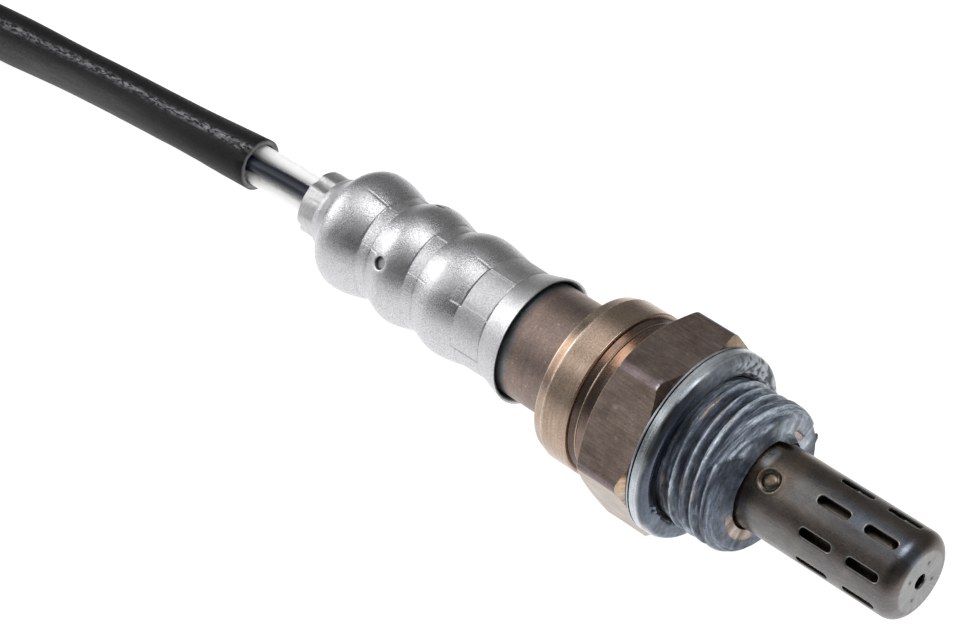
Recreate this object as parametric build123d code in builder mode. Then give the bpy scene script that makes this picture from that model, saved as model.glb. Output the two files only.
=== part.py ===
from build123d import *
import os
from math import sin, cos, tan, radians, sqrt

# Heated four-wire oxygen sensor, lying on a flat surface as it comes to rest:
# on the rear edge of one flat of its hexagon and on the rear bulge of its cover shell.
# All lengths are in millimetres. +Z is up and +X points towards the sensing tip.
# "s" is the distance along the sensor's own axis, measured from the front face
# of the round collar, positive towards the tip; "r" is the radius about that axis;
# "beta" is the angle about the axis, from the upper side towards -Y.

os.makedirs("parts", exist_ok=True)

# ---------------------------------------------------------------- driving sizes
tilt_deg = 4.30            # the axis rises towards the tip by this much
axis_x_at_0 = 3.981        # x of the axis at s = 0
gasket_r = 11.4            # sealing washer, outside radius
gasket_rear_s = 10.0
gasket_front_s = 12.5

thread_r = 9.0             # M18 x 1.5 major radius
thread_rear_s = 12.9
thread_full_s = 19.2
nose_s = 20.2              # front face of the threaded nose
hex_af = 22.0              # across flats
hex_corner_r = 12.55       # turned corners
hex_rear_s = 2.68          # foot of the 30 degree rear chamfer, at radius 10.3
hex_front_s = 10.0
flat_rear_s = 3.084        # where that chamfer meets the middle of a flat
collar_r = 10.2
collar_rear_s = -4.92

shield_r = 5.25            # slotted outer shield
shield_wall = 0.4
shield_tip_s = 41.05
slot_len = 4.2
slot_width = 1.1
slot_rows_s = (30.55, 36.8)
slot_count = 8
slot_first_beta = 22.8

casing_r = 7.13            # heat-tinted tube behind the collar
casing_wall = 0.5
casing_rear_s = -29.6

boot_wall = 0.42           # three-bulge cover shell
vent_r = 0.78
vent_s = -32.7
vent_beta = 60.3
vent_count = 4

ferrule_r = 4.12
ferrule_wall = 0.45
ferrule_rear_s = -49.0
ferrule_front_s = -45.2

wire_r = 0.95              # insulated wire
core_r = 0.5               # stripped conductor
wire_pitch_r = 1.5         # radius on which the four wires sit in the grommet
element_w = 4.2            # planar sensing element
element_t = 1.6

sleeve_r = 3.25            # black lead sleeve
sleeve_bore_r = 2.65
sleeve_bore_len = 5.0

# ------------------------------------------------------------------ sensor axis
t_ = radians(tilt_deg)
ax_dir = Vector(cos(t_), 0, sin(t_))
ax_up = Vector(-sin(t_), 0, cos(t_))
ax_side = Vector(0, -1, 0)
axis_z_at_0 = hex_af / 2 * cos(t_) - flat_rear_s * sin(t_)
origin_0 = Vector(axis_x_at_0, 0, axis_z_at_0)


def axis_point(s):
    """Point on the sensor's axis at distance s."""
    return origin_0 + ax_dir * s


def across(s):
    """Plane square to the axis at s: local x is beta 0, local y is beta 90."""
    return Plane(origin=axis_point(s), x_dir=ax_up, z_dir=ax_dir)


def radial(s, beta):
    """Plane through the axis point at s, with its normal facing out at beta."""
    b = radians(beta)
    return Plane(origin=axis_point(s), x_dir=ax_dir, z_dir=ax_up * cos(b) + ax_side * sin(b))


along = Plane(origin=origin_0, x_dir=ax_dir, z_dir=(0, -1, 0))   # local (s, r)
sensor_axis = Axis(origin_0, ax_dir)


def polar_xy(radius, beta):
    """Local coordinates, in a plane square to the axis, of a point at beta."""
    return (radius * cos(radians(beta)), radius * sin(radians(beta)))


# ----------------------------------------------------------------- outer shield
with BuildPart() as outer_shield:
    with BuildSketch(along):
        with BuildLine():
            Polyline((14.6, shield_r - shield_wall), (14.6, 5.6), (15.0, 5.6), (15.0, shield_r),
                     (shield_tip_s - 1.7, shield_r))
            RadiusArc((shield_tip_s - 1.7, shield_r), (shield_tip_s, shield_r - 1.7), 1.7)
            Polyline((shield_tip_s, shield_r - 1.7), (shield_tip_s, 0.88), (shield_tip_s - shield_wall, 0.88),
                     (shield_tip_s - shield_wall, shield_r - 1.7))
            RadiusArc((shield_tip_s - shield_wall, shield_r - 1.7),
                      (shield_tip_s - 1.7, shield_r - shield_wall), -(1.7 - shield_wall))
            Line((shield_tip_s - 1.7, shield_r - shield_wall), (14.6, shield_r - shield_wall))
        make_face()
    revolve(axis=sensor_axis)
    # two rows of long slots, in line with each other
    for row_s in slot_rows_s:
        for k in range(slot_count):
            with BuildSketch(radial(row_s, slot_first_beta + k * 360 / slot_count)):
                RectangleRounded(slot_len, slot_width, 0.5)
            extrude(amount=shield_r + 1, mode=Mode.SUBTRACT)
    # round staking mark near the base
    with BuildSketch(radial(22.75, 36.5).offset(shield_r - 0.22)):
        Circle(1.15)
        Circle(0.75, mode=Mode.SUBTRACT)
    extrude(amount=1.0, mode=Mode.SUBTRACT)
outer_shield.part.label = "outer_shield"
export_step(outer_shield.part, "parts/outer_shield.step")

# ----------------------------------------------------------------- inner shield
with BuildPart() as inner_shield:
    with BuildSketch(along):
        with BuildLine():
            Polyline((14.15, 3.5), (14.15, 5.6), (14.55, 5.6), (14.55, 3.9), (37.4, 3.9))
            RadiusArc((37.4, 3.9), (38.6, 2.7), 1.2)
            Polyline((38.6, 2.7), (38.6, 0.7), (38.25, 0.7), (38.25, 2.7))
            RadiusArc((38.25, 2.7), (37.4, 3.55), -0.85)
            Polyline((37.4, 3.55), (14.9, 3.55), (14.15, 3.5))
        make_face()
    revolve(axis=sensor_axis)
    for row_s, first in ((23.5, 0.0), (34.0, 30.0)):
        for k in range(6):
            with BuildSketch(radial(row_s, first + 60 * k)):
                Circle(0.65)
            extrude(amount=6, mode=Mode.SUBTRACT)
inner_shield.part.label = "inner_shield"
export_step(inner_shield.part, "parts/inner_shield.step")

# ------------------------------------------------ metal shell: hex, thread, collar
with BuildPart() as hex_blank:
    with BuildSketch(across(hex_rear_s)):
        RegularPolygon(radius=hex_af / sqrt(3), side_count=6, rotation=30)
    extrude(amount=hex_front_s - hex_rear_s)
    with BuildSketch(along):
        with BuildLine():
            Polyline((hex_rear_s, 0), (hex_rear_s, 10.3),
                     (hex_rear_s + (hex_corner_r - 10.3) * tan(radians(30)), hex_corner_r),
                     (9.27, hex_corner_r), (hex_front_s, hex_corner_r - 0.73 / tan(radians(30))),
                     (hex_front_s, 0), (hex_rear_s, 0))
        make_face()
    revolve(axis=sensor_axis, mode=Mode.INTERSECT)

with BuildPart() as metal_shell:
    with BuildSketch(along):
        with BuildLine():
            Polyline(
                (-8.6, 5.65), (-8.6, 6.6), (collar_rear_s, 6.6), (collar_rear_s, 9.79), (-3.6, collar_r),
                (-0.12, collar_r), (0, 10.08), (0.05, 9.72), (0.75, 9.48), (0.82, 9.55), (0.95, 9.55), (1.02, 9.45),
                (1.6, 9.22), (2.1, 9.08), (2.4, 9.2), (2.6, 9.8), (hex_rear_s, 10.3), (hex_rear_s, 9.0), (hex_front_s, 9.0),
                (hex_front_s, 8.6), (12.7, 8.6), (thread_rear_s, thread_r), (thread_full_s, thread_r),
                (nose_s, 8.1), (nose_s, 5.6), (18.6, 5.6), (18.6, 5.27), (15.0, 5.27), (15.0, 5.65), (-8.6, 5.65),
            )
        make_face()
    revolve(axis=sensor_axis)
    add(hex_blank.part)
    # clear the bore again through the hex
    with BuildSketch(along):
        with BuildLine():
            Polyline((-9, 0), (-9, 5.65), (15.0, 5.65), (15.0, 0), (-9, 0))
        make_face()
    revolve(axis=sensor_axis, mode=Mode.SUBTRACT)
metal_shell.part.label = "metal_shell"
export_step(metal_shell.part, "parts/metal_shell.step")

# ----------------------------------------------------- captive folded seal washer
with BuildPart() as seal_washer:
    with BuildSketch(along):
        with BuildLine():
            Polyline((10.02, 8.7), (10.02, 11.25), (10.15, gasket_r), (10.34, gasket_r), (10.38, 10.3),
                     (10.5, 10.3), (10.54, gasket_r), (11.4, gasket_r))
            RadiusArc((11.4, gasket_r), (gasket_front_s, gasket_r - 1.1), 1.1)
            Polyline((gasket_front_s, gasket_r - 1.1), (gasket_front_s, 9.3), (12.2, 8.7), (10.02, 8.7))
        make_face()
    revolve(axis=sensor_axis)
seal_washer.part.label = "seal_washer"
export_step(seal_washer.part, "parts/seal_washer.step")

# ---------------------------------------------------------------- lower casing
with BuildPart() as lower_casing:
    with BuildSketch(along):
        with BuildLine():
            Polyline((collar_rear_s - 0.02, casing_r), (-14.0, casing_r), (-15.8, 6.5), (-20.0, 6.5), (-21.0, 6.34),
                     (casing_rear_s, 6.34), (casing_rear_s, 5.84), (-20.8, 5.84), (-19.8, 6.0), (-16.0, 6.0),
                     (-13.9, 6.63), (collar_rear_s - 0.02, 6.63), (collar_rear_s - 0.02, casing_r))
        make_face()
    revolve(axis=sensor_axis)
lower_casing.part.label = "lower_casing"
export_step(lower_casing.part, "parts/lower_casing.step")

# -------------------------------------------------- three-bulge cover shell
boot_outer = [
    (-46.4, 4.57), (-45.6, 4.75), (-44.6, 5.55), (-43.6, 6.5), (-42.6, 7.28), (-41.4, 7.66), (-40.3, 7.62),
    (-39.2, 7.40), (-38.0, 7.03), (-36.8, 6.72), (-35.8, 6.63), (-34.9, 6.80), (-33.8, 7.30), (-32.6, 7.58),
    (-31.6, 7.54), (-30.4, 7.20), (-29.3, 6.88), (-28.5, 6.79), (-27.6, 6.90), (-26.5, 7.30), (-25.4, 7.57),
    (-24.3, 7.65), (-23.0, 7.54), (-21.5, 7.28), (-20.0, 7.07), (-18.6, 6.97), (-17.3, 6.97), (-16.0, 7.13),
    (-15.0, 7.38), (-14.0, 7.68), (-13.1, 7.88),
]
boot_inner = []
for i, (bs, br) in enumerate(boot_outer):
    s0, r0 = boot_outer[max(i - 1, 0)]
    s1, r1 = boot_outer[min(i + 1, len(boot_outer) - 1)]
    dl = sqrt((s1 - s0) ** 2 + (r1 - r0) ** 2)
    boot_inner.append((bs + (r1 - r0) / dl * boot_wall, br - (s1 - s0) / dl * boot_wall))

with BuildPart() as boot_shell:
    with BuildSketch(along):
        with BuildLine():
            o_line = Spline(*boot_outer)
            i_line = Spline(*boot_inner)
            Line(o_line @ 0, i_line @ 0)
            Line(o_line @ 1, i_line @ 1)
        make_face()
    revolve(axis=sensor_axis)
    for k in range(vent_count):
        with BuildSketch(radial(vent_s, vent_beta + k * 360 / vent_count)):
            Circle(vent_r)
        extrude(amount=12, mode=Mode.SUBTRACT)
boot_shell.part.label = "boot_shell"
export_step(boot_shell.part, "parts/boot_shell.step")

# ------------------------------------------------------------ crimped wire ferrule
with BuildPart() as wire_ferrule:
    with BuildSketch(along):
        with BuildLine():
            Polyline((ferrule_rear_s, ferrule_r - ferrule_wall), (ferrule_rear_s, ferrule_r - 0.1),
                     (ferrule_rear_s + 0.1, ferrule_r), (ferrule_front_s, ferrule_r),
                     (ferrule_front_s, ferrule_r - ferrule_wall), (ferrule_rear_s, ferrule_r - ferrule_wall))
        make_face()
    revolve(axis=sensor_axis)
    # one open seam along the crimp and shallow castellations at the rear edge
    with BuildSketch(radial(-47.9, 10.0)):
        RectangleRounded(3.4, 0.7, 0.3)
    extrude(amount=6, mode=Mode.SUBTRACT)
    for notch_beta in (104, 176, 248, 320):
        with BuildSketch(radial(ferrule_rear_s, notch_beta)):
            Rectangle(0.5, 1.1)
        extrude(amount=6, mode=Mode.SUBTRACT)
wire_ferrule.part.label = "wire_ferrule"
export_step(wire_ferrule.part, "parts/wire_ferrule.step")

# ------------------------------------------------------------- rubber wire grommet
wire_betas = {"wire_white_upper": -48.0, "wire_dark_blue": 42.0, "wire_white_lower": 132.0, "wire_black": 222.0}
with BuildPart() as wire_grommet:
    with BuildSketch(along):
        with BuildLine():
            Polyline((-48.5, 0), (-48.5, 3.62), (-45.0, 3.62), (-44.3, 4.2), (-42.2, 6.1), (-34.2, 6.1), (-34.2, 0),
                     (-48.5, 0))
        make_face()
    revolve(axis=sensor_axis)
    with BuildSketch(across(-49)):
        for b in wire_betas.values():
            with Locations(polar_xy(wire_pitch_r, b)):
                Circle(wire_r + 0.02)
    extrude(amount=16, mode=Mode.SUBTRACT)
wire_grommet.part.label = "wire_grommet"
export_step(wire_grommet.part, "parts/wire_grommet.step")

# ----------------------------------------------------------- planar sensing element
with BuildPart() as sensing_element:
    with BuildSketch(across(-26.5)):
        Rectangle(element_t, element_w)
    extrude(amount=62.5)
    chamfer(sensing_element.faces().sort_by(Axis(origin_0, ax_dir))[-1].edges(), length=0.35)
sensing_element.part.label = "sensing_element"
export_step(sensing_element.part, "parts/sensing_element.step")

# ------------------------------------------------------- ceramics and talc in the shell
with BuildPart() as front_insulator:
    with BuildSketch(across(2.0)):
        Circle(5.6)
        Rectangle(element_t + 0.1, element_w + 0.1, mode=Mode.SUBTRACT)
    extrude(amount=12.1)
    with BuildSketch(across(14.1)):
        Circle(3.4)
        Rectangle(element_t + 0.1, element_w + 0.1, mode=Mode.SUBTRACT)
    extrude(amount=2.4)
front_insulator.part.label = "front_insulator"
export_step(front_insulator.part, "parts/front_insulator.step")

with BuildPart() as talc_seal:
    with BuildSketch(across(-2.5)):
        Circle(5.62)
        Rectangle(element_t + 0.04, element_w + 0.04, mode=Mode.SUBTRACT)
    extrude(amount=4.5)
talc_seal.part.label = "talc_seal"
export_step(talc_seal.part, "parts/talc_seal.step")

with BuildPart() as rear_insulator:
    with BuildSketch(across(-7.5)):
        Circle(5.6)
        Rectangle(element_t + 0.1, element_w + 0.1, mode=Mode.SUBTRACT)
    extrude(amount=5.0)
rear_insulator.part.label = "rear_insulator"
export_step(rear_insulator.part, "parts/rear_insulator.step")

with BuildPart() as packing_ring:
    with BuildSketch(across(-8.3)):
        Circle(5.6)
        Circle(4.2, mode=Mode.SUBTRACT)
    extrude(amount=0.8)
packing_ring.part.label = "packing_ring"
export_step(packing_ring.part, "parts/packing_ring.step")

# --------------------------------------------------- contact holder and its spring clip
contact_z = element_t / 2 + 0.02
contact_t = 0.3
for name, sign in (("contact_holder_upper", 1), ("contact_holder_lower", -1)):
    with BuildPart() as holder:
        with BuildSketch(across(-27.5)):
            Circle(5.2)
            with Locations((-sign * 3.0, 0)):
                Rectangle(6.0, 12.0, mode=Mode.SUBTRACT)
            with Locations((sign * (contact_z + contact_t) / 2, 0)):
                Rectangle(contact_z + contact_t + 0.06, element_w + 0.3, mode=Mode.SUBTRACT)
        extrude(amount=15.5)
        with BuildSketch(across(-21.6)):
            Circle(6.0)
            Circle(4.98, mode=Mode.SUBTRACT)
        extrude(amount=2.6, mode=Mode.SUBTRACT)
    holder.part.label = name
    export_step(holder.part, "parts/" + name + ".step")

with BuildPart() as holder_clip:
    with BuildSketch(across(-21.5)):
        Circle(5.35)
        Circle(5.0, mode=Mode.SUBTRACT)
        with Locations((0, 5.2)):
            Rectangle(1.4, 1.2, mode=Mode.SUBTRACT)
    extrude(amount=2.4)
holder_clip.part.label = "holder_clip"
export_step(holder_clip.part, "parts/holder_clip.step")

# ------------------------------------ contact terminals, each crimped on its own wire
contact_side = {"wire_white_upper": (1, -1), "wire_dark_blue": (1, 1), "wire_white_lower": (-1, 1),
                "wire_black": (-1, -1)}
contact_names = {"wire_white_upper": "heater_contact_upper", "wire_dark_blue": "signal_contact",
                 "wire_white_lower": "heater_contact_lower", "wire_black": "ground_contact"}
for wire, (up, side) in contact_side.items():
    wx, wy = polar_xy(wire_pitch_r, wire_betas[wire])
    cx = up * (contact_z + contact_t / 2)
    cy = side * 1.08
    with BuildPart() as contact:
        # flat blade that presses on the element's pad
        with BuildSketch(across(-28.6)):
            with Locations((cx, cy)):
                Rectangle(contact_t, 1.6)
        extrude(amount=15.0)
        # web that carries the blade across to the wire, then the crimp barrel
        with BuildSketch(across(-29.6)):
            with Locations((cx, cy)):
                Rectangle(contact_t, 1.6)
            with Locations((wx, wy)):
                Circle(0.85)
        extrude(amount=1.0)
        with BuildSketch(across(-29.6)):
            with Locations(((cx + wx) / 2, (cy + wy) / 2)):
                Rectangle(0.7, 0.9)
        extrude(amount=1.0)
        with BuildSketch(across(-33.2)):
            with Locations((wx, wy)):
                Circle(0.85)
                Circle(core_r + 0.02, mode=Mode.SUBTRACT)
        extrude(amount=3.6)
    contact.part.label = contact_names[wire]
    export_step(contact.part, "parts/" + contact_names[wire] + ".step")

# ---------------------------------------------------------- route of the lead sleeve
lead_route = [
    (-55.55, 0, 6.31), (-67.64, -0.6, 4.92), (-81.64, -1.85, 3.78), (-97.14, -4.3, 3.26), (-113.64, -7.9, 3.25),
    (-129.65, -10.2, 3.7), (-146.15, -12.9, 4.6), (-165.95, -15, 4.6), (-183.84, -13.4, 3.7), (-200.25, -7.5, 3.25),
    (-215.15, -0.6, 3.25), (-226.95, 6.3, 3.25), (-239.84, 6, 3.25), (-250.45, -1.3, 3.25), (-255.75, -13.1, 3.25),
    (-253.84, -25.9, 3.25), (-245.65, -35.8, 3.25), (-233.45, -39.9, 3.25), (-220.84, -37, 3.25), (-211.25, -28.7, 3.25),
    (-198.15, -23.9, 3.25), (-182.15, -21.9, 3.7), (-163.95, -21.9, 4.6), (-147.05, -20.3, 4.7), (-131.65, -21.8, 6),
    (-119.34, -24.3, 6),
]
pts = [Vector(*p) for p in lead_route]
runs = [(b - a) for a, b in zip(pts, pts[1:])]
radii = []
for a, b in zip(runs, runs[1:]):
    turn = a.get_angle(b)
    radii.append(0.45 * min(a.length, b.length) / tan(radians(turn / 2)))
print("lead sleeve: runs", [round(v.length, 1) for v in runs])
print("lead sleeve: arc radii", [round(v, 1) for v in radii])

# the mouth of the sleeve is bored out, and the four wires go in there
mouth_dir = (pts[1] - pts[0]).normalized()
mouth_plane = Plane(origin=pts[0], x_dir=mouth_dir.cross(Vector(0, 1, 0)).normalized(), z_dir=mouth_dir)
with BuildPart() as lead_sleeve:
    with BuildLine() as sleeve_path:
        FilletPolyline(*pts, radius=radii)
    with BuildSketch(mouth_plane):
        Circle(sleeve_r)
    sweep(path=sleeve_path.wires()[0])
    with BuildSketch(mouth_plane):
        Circle(sleeve_bore_r)
    extrude(amount=sleeve_bore_len, mode=Mode.SUBTRACT)
lead_sleeve.part.label = "lead_sleeve"
export_step(lead_sleeve.part, "parts/lead_sleeve.step")
path_len = sleeve_path.wires()[0].length
print("lead sleeve: length", round(path_len, 1), "volume", round(lead_sleeve.part.volume, 1), "expected",
      round(3.14159265 * (sleeve_r ** 2 * path_len - sleeve_bore_r ** 2 * sleeve_bore_len), 1))

# ------------------------------------------------------------------- the four wires
# each runs straight through the grommet, crosses the open gap and ends inside the sleeve
for wire, b in wire_betas.items():
    wx, wy = polar_xy(wire_pitch_r, b)
    gx, gy = polar_xy(1.62, b + 14)
    start = axis_point(-33.2) + ax_up * wx + ax_side * wy
    leave = axis_point(-52.6) + ax_up * wx + ax_side * wy
    m_up = (Vector(0, 0, 1) - mouth_dir * mouth_dir.dot(Vector(0, 0, 1))).normalized()
    m_side = Vector(0, -1, 0) - mouth_dir * mouth_dir.dot(Vector(0, -1, 0))
    m_side = m_side.normalized()
    enter = pts[0] + mouth_dir * 0.6 + m_up * gx + m_side * gy
    inside = pts[0] + mouth_dir * (sleeve_bore_len - 0.02) + m_up * gx + m_side * gy
    w_pts = [start, leave, enter, inside]
    w_runs = [(q - p) for p, q in zip(w_pts, w_pts[1:])]
    w_radii = [0.45 * min(p.length, q.length) / tan(radians(p.get_angle(q) / 2)) for p, q in zip(w_runs, w_runs[1:])]
    print(wire, "arc radii", [round(v, 1) for v in w_radii])
    with BuildPart() as lead_wire:
        with BuildLine() as wire_path:
            FilletPolyline(*w_pts, radius=w_radii)
        with BuildSketch(Plane(origin=start, x_dir=ax_up, z_dir=(0 - ax_dir.X, 0 - ax_dir.Y, 0 - ax_dir.Z))):
            Circle(wire_r)
        sweep(path=wire_path.wires()[0])
        # stripped end inside the crimp barrel
        with BuildSketch(Plane(origin=start, x_dir=ax_up, z_dir=ax_dir)):
            Circle(core_r)
        extrude(amount=3.5)
    lead_wire.part.label = wire
    export_step(lead_wire.part, "parts/" + wire + ".step")

# ----------------------------------------------------------------------- cable tie
tie_dir = Vector(18.2, 2.6, 0).normalized()
tie_c = Vector(-155.75, -17.5, 4.6)
tie_plane = Plane(origin=tie_c - tie_dir * 1.3, x_dir=Vector(-tie_dir.Y, tie_dir.X, 0), z_dir=tie_dir)
with BuildPart() as cable_tie:
    with BuildSketch(tie_plane):
        SlotCenterToCenter(7.2, 2 * (sleeve_r + 1.3))
        SlotCenterToCenter(7.2, 2 * (sleeve_r + 0.2), mode=Mode.SUBTRACT)
    extrude(amount=2.6)
    with BuildSketch(tie_plane.offset(-0.8)):
        with Locations((1.2, sleeve_r + 2.2)):
            RectangleRounded(4.6, 2.4, 0.5)
    extrude(amount=4.2)
cable_tie.part.label = "cable_tie"
export_step(cable_tie.part, "parts/cable_tie.step")

# ------------------------------------------------- plain four-way flat connector
end_dir = (pts[-1] - pts[-2]).normalized()
con_side = Vector(-end_dir.Y, end_dir.X, 0).normalized()


def con(t):
    """Plane square to the connector's length at t: local x is sideways, local y is up."""
    return Plane(origin=pts[-1] + end_dir * t, x_dir=con_side * -1, z_dir=end_dir * -1)


way_x = (-5.7, -1.9, 1.9, 5.7)
with BuildPart() as connector_boot:
    with BuildSketch(con(5.0)):
        RectangleRounded(18.0, 8.4, 2.5)
    extrude(amount=4.0)
    with BuildSketch(con(1.0)):
        Circle(5.0)
    with BuildSketch(con(-6.2)):
        Circle(4.1)
    loft()
    with BuildSketch(con(0.01)):
        Circle(sleeve_r + 0.02)
    extrude(amount=7.0, mode=Mode.SUBTRACT)
connector_boot.part.label = "connector_boot"
export_step(connector_boot.part, "parts/connector_boot.step")

with BuildPart() as connector_housing:
    # rear body
    with BuildSketch(con(16.0)):
        RectangleRounded(22.0, 12.0, 1.6)
    extrude(amount=14.0)
    # pocket for the rubber boot
    with BuildSketch(con(5.02)):
        RectangleRounded(18.1, 8.5, 2.5)
    extrude(amount=4.0, mode=Mode.SUBTRACT)
    # spigot at the mating end
    with BuildSketch(con(31.0)):
        RectangleRounded(18.4, 7.2, 1.2)
    extrude(amount=15.0)
    with BuildSketch(con(20.6)):
        RectangleRounded(19.0, 7.8, 1.2)
        RectangleRounded(17.0, 5.8, 0.8, mode=Mode.SUBTRACT)
    extrude(amount=2.6, mode=Mode.SUBTRACT)
    # four terminal cavities, open at the front
    with BuildSketch(con(31.0)):
        for x in way_x:
            with Locations((x, 0)):
                Rectangle(2.5, 3.0)
    extrude(amount=22.0, mode=Mode.SUBTRACT)
    # latch tongue above the spigot
    with BuildSketch(con(28.5)):
        with Locations((0, 5.1)):
            Rectangle(7.0, 1.2)
    extrude(amount=12.5)
    with BuildSketch(con(26.5)):
        with Locations((0, 5.75)):
            Rectangle(5.0, 0.5)
    extrude(amount=2.0)
    # grip ribs on both flanks of the body
    for side in (-1, 1):
        for t in (5.0, 7.5, 10.0, 12.5):
            with BuildSketch(con(t + 1.0)):
                with Locations((side * 11.2, 0)):
                    Rectangle(0.8, 8.0)
            extrude(amount=1.0)
connector_housing.part.label = "connector_housing"
export_step(connector_housing.part, "parts/connector_housing.step")

with BuildPart() as connector_seal:
    with BuildSketch(con(20.5)):
        RectangleRounded(19.6, 8.4, 1.6)
        RectangleRounded(17.04, 5.84, 0.8, mode=Mode.SUBTRACT)
    extrude(amount=2.4)
connector_seal.part.label = "connector_seal"
export_step(connector_seal.part, "parts/connector_seal.step")

with BuildPart() as connector_lock:
    with BuildSketch(con(32.6)):
        RectangleRounded(18.4, 7.2, 1.2)
        for x in way_x:
            with Locations((x, 0)):
                Rectangle(1.5, 1.8, mode=Mode.SUBTRACT)
    extrude(amount=1.58)
connector_lock.part.label = "connector_lock"
export_step(connector_lock.part, "parts/connector_lock.step")

with BuildPart() as connector_terminals:
    with BuildSketch(con(29.5)):
        for x in way_x:
            with Locations((x, 0)):
                Rectangle(2.2, 2.6)
                Rectangle(1.2, 1.4, mode=Mode.SUBTRACT)
    extrude(amount=9.0)
    with BuildSketch(con(20.5)):
        for x in way_x:
            with Locations((x, 0)):
                Circle(1.0)
    extrude(amount=11.0)
connector_terminals.part.label = "connector_terminals"
export_step(connector_terminals.part, "parts/connector_terminals.step")
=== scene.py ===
import math
import bpy
import numpy as np
from mathutils import Matrix, Vector


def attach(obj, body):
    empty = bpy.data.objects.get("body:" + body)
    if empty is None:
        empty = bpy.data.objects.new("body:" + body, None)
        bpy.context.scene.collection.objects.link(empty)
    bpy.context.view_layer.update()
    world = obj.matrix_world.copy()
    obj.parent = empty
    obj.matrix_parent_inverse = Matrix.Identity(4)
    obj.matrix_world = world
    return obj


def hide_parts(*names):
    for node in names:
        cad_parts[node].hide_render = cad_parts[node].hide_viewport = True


# Heated four-wire oxygen sensor lying on a pale surface. Everything is in metres in the CAD's
# frame. The working numbers are in the sensor's own frame, in millimetres: s runs along its axis
# from the front of the round collar towards the tip, r is the radius, and beta turns about the
# axis from the upper side towards -Y.

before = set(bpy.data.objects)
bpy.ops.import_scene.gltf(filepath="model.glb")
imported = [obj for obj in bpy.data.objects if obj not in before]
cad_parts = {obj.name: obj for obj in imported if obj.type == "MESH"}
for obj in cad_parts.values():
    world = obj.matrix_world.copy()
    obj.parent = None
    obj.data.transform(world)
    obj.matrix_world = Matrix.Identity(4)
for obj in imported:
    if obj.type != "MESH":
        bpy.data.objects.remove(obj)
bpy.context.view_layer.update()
scene = bpy.context.scene
scene.view_settings.view_transform = "Standard"
scene.view_settings.look = "None"

TILT = math.radians(4.30)
X0, Z0 = 3.981, 10.7378
CT, ST = math.cos(TILT), math.sin(TILT)

# ------------------------------------------------------------------------------------ camera
cam_data = bpy.data.cameras.new("camera")
cam_data.lens = 116.4567
cam_data.sensor_width = 36.0
cam_data.clip_start = 0.01
cam_data.clip_end = 20.0
camera = bpy.data.objects.new("camera", cam_data)
scene.collection.objects.link(camera)
camera.matrix_world = Matrix((
    (0.71200917, -0.51286212, 0.47959919, 0.15291755),
    (0.69731183, 0.43624164, -0.56872616, -0.20318802),
    (0.08245697, 0.73936843, 0.66823287, 0.24532650),
    (0.0, 0.0, 0.0, 1.0)))
scene.camera = camera


# ------------------------------------------------------------------------------ small helpers
def on_sensor(s, r, beta):
    """Points of the sensor's frame, in metres."""
    s, r, beta = np.broadcast_arrays(np.asarray(s, float), np.asarray(r, float), np.asarray(beta, float))
    b = np.radians(beta)
    up, side = r * np.cos(b), r * np.sin(b)
    return np.stack([X0 + s * CT - up * ST, -side, Z0 + s * ST + up * CT], -1) * 0.001


def step(x, a, b):
    """0 below a, 1 above b, smooth between (a may be the larger)."""
    t = np.clip((np.asarray(x, float) - a) / (b - a), 0.0, 1.0)
    return t * t * (3 - 2 * t)


def hump(x, centre, half, soft):
    """1 within half of centre, falling to 0 over soft."""
    return 1.0 - step(np.abs(np.asarray(x, float) - centre), half, half + soft)


def turn(beta, centre):
    """Signed angle from centre, -180 to 180."""
    return (np.asarray(beta, float) - centre + 180.0) % 360.0 - 180.0


_tables = {}


def noise(x, y, seed, period=None):
    """Smooth lattice noise from -1 to 1, repeating in y after period cells."""
    if seed not in _tables:
        _tables[seed] = np.random.default_rng(seed).random((257, 257)) * 2 - 1
    t = _tables[seed]
    x, y = np.broadcast_arrays(np.asarray(x, float), np.asarray(y, float))
    xi, yi = np.floor(x).astype(int), np.floor(y).astype(int)
    fx, fy = x - xi, y - yi
    fx, fy = fx * fx * (3 - 2 * fx), fy * fy * (3 - 2 * fy)

    def g(a, b):
        b = b % period if period else b
        return t[a % 257, b % 257]
    return ((g(xi, yi) * (1 - fx) + g(xi + 1, yi) * fx) * (1 - fy)
            + (g(xi, yi + 1) * (1 - fx) + g(xi + 1, yi + 1) * fx) * fy)


def grain(s, beta, ds, db, radius, seed, octaves=3, fall=0.55):
    """Fractal noise on a turned surface; ds and db are its coarsest sizes in mm along and round."""
    total, amount, norm = 0.0, 1.0, 0.0
    period = max(3, int(round(2 * math.pi * radius / db)))
    for k in range(octaves):
        total = total + amount * noise(s / ds * 2 ** k, (beta % 360.0) / 360.0 * period * 2 ** k,
                                       seed + k, period * 2 ** k)
        norm += amount
        amount *= fall
    return total / norm


def hermite(knots, x):
    """Curve through (x, value, slope before, slope after) knots."""
    k = np.array(knots, float)
    x = np.asarray(x, float)
    i = np.clip(np.searchsorted(k[:, 0], x, side="right") - 1, 0, len(k) - 2)
    a, b = k[i], k[i + 1]
    h = b[..., 0] - a[..., 0]
    t = np.clip((x - a[..., 0]) / h, 0, 1)
    return ((2 * t ** 3 - 3 * t ** 2 + 1) * a[..., 1] + (t ** 3 - 2 * t ** 2 + t) * h * a[..., 3]
            + (-2 * t ** 3 + 3 * t ** 2) * b[..., 1] + (t ** 3 - t ** 2) * h * b[..., 2])


def srgb(r, g, b):
    """Linear colour of an 8-bit display colour."""
    c = np.array([r, g, b], float) / 255.0
    return np.where(c <= 0.04045, c / 12.92, ((c + 0.055) / 1.055) ** 2.4)


def mix(a, b, t):
    t = np.asarray(t, float)[..., None]
    return np.asarray(a, float) * (1 - t) + np.asarray(b, float) * t


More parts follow.
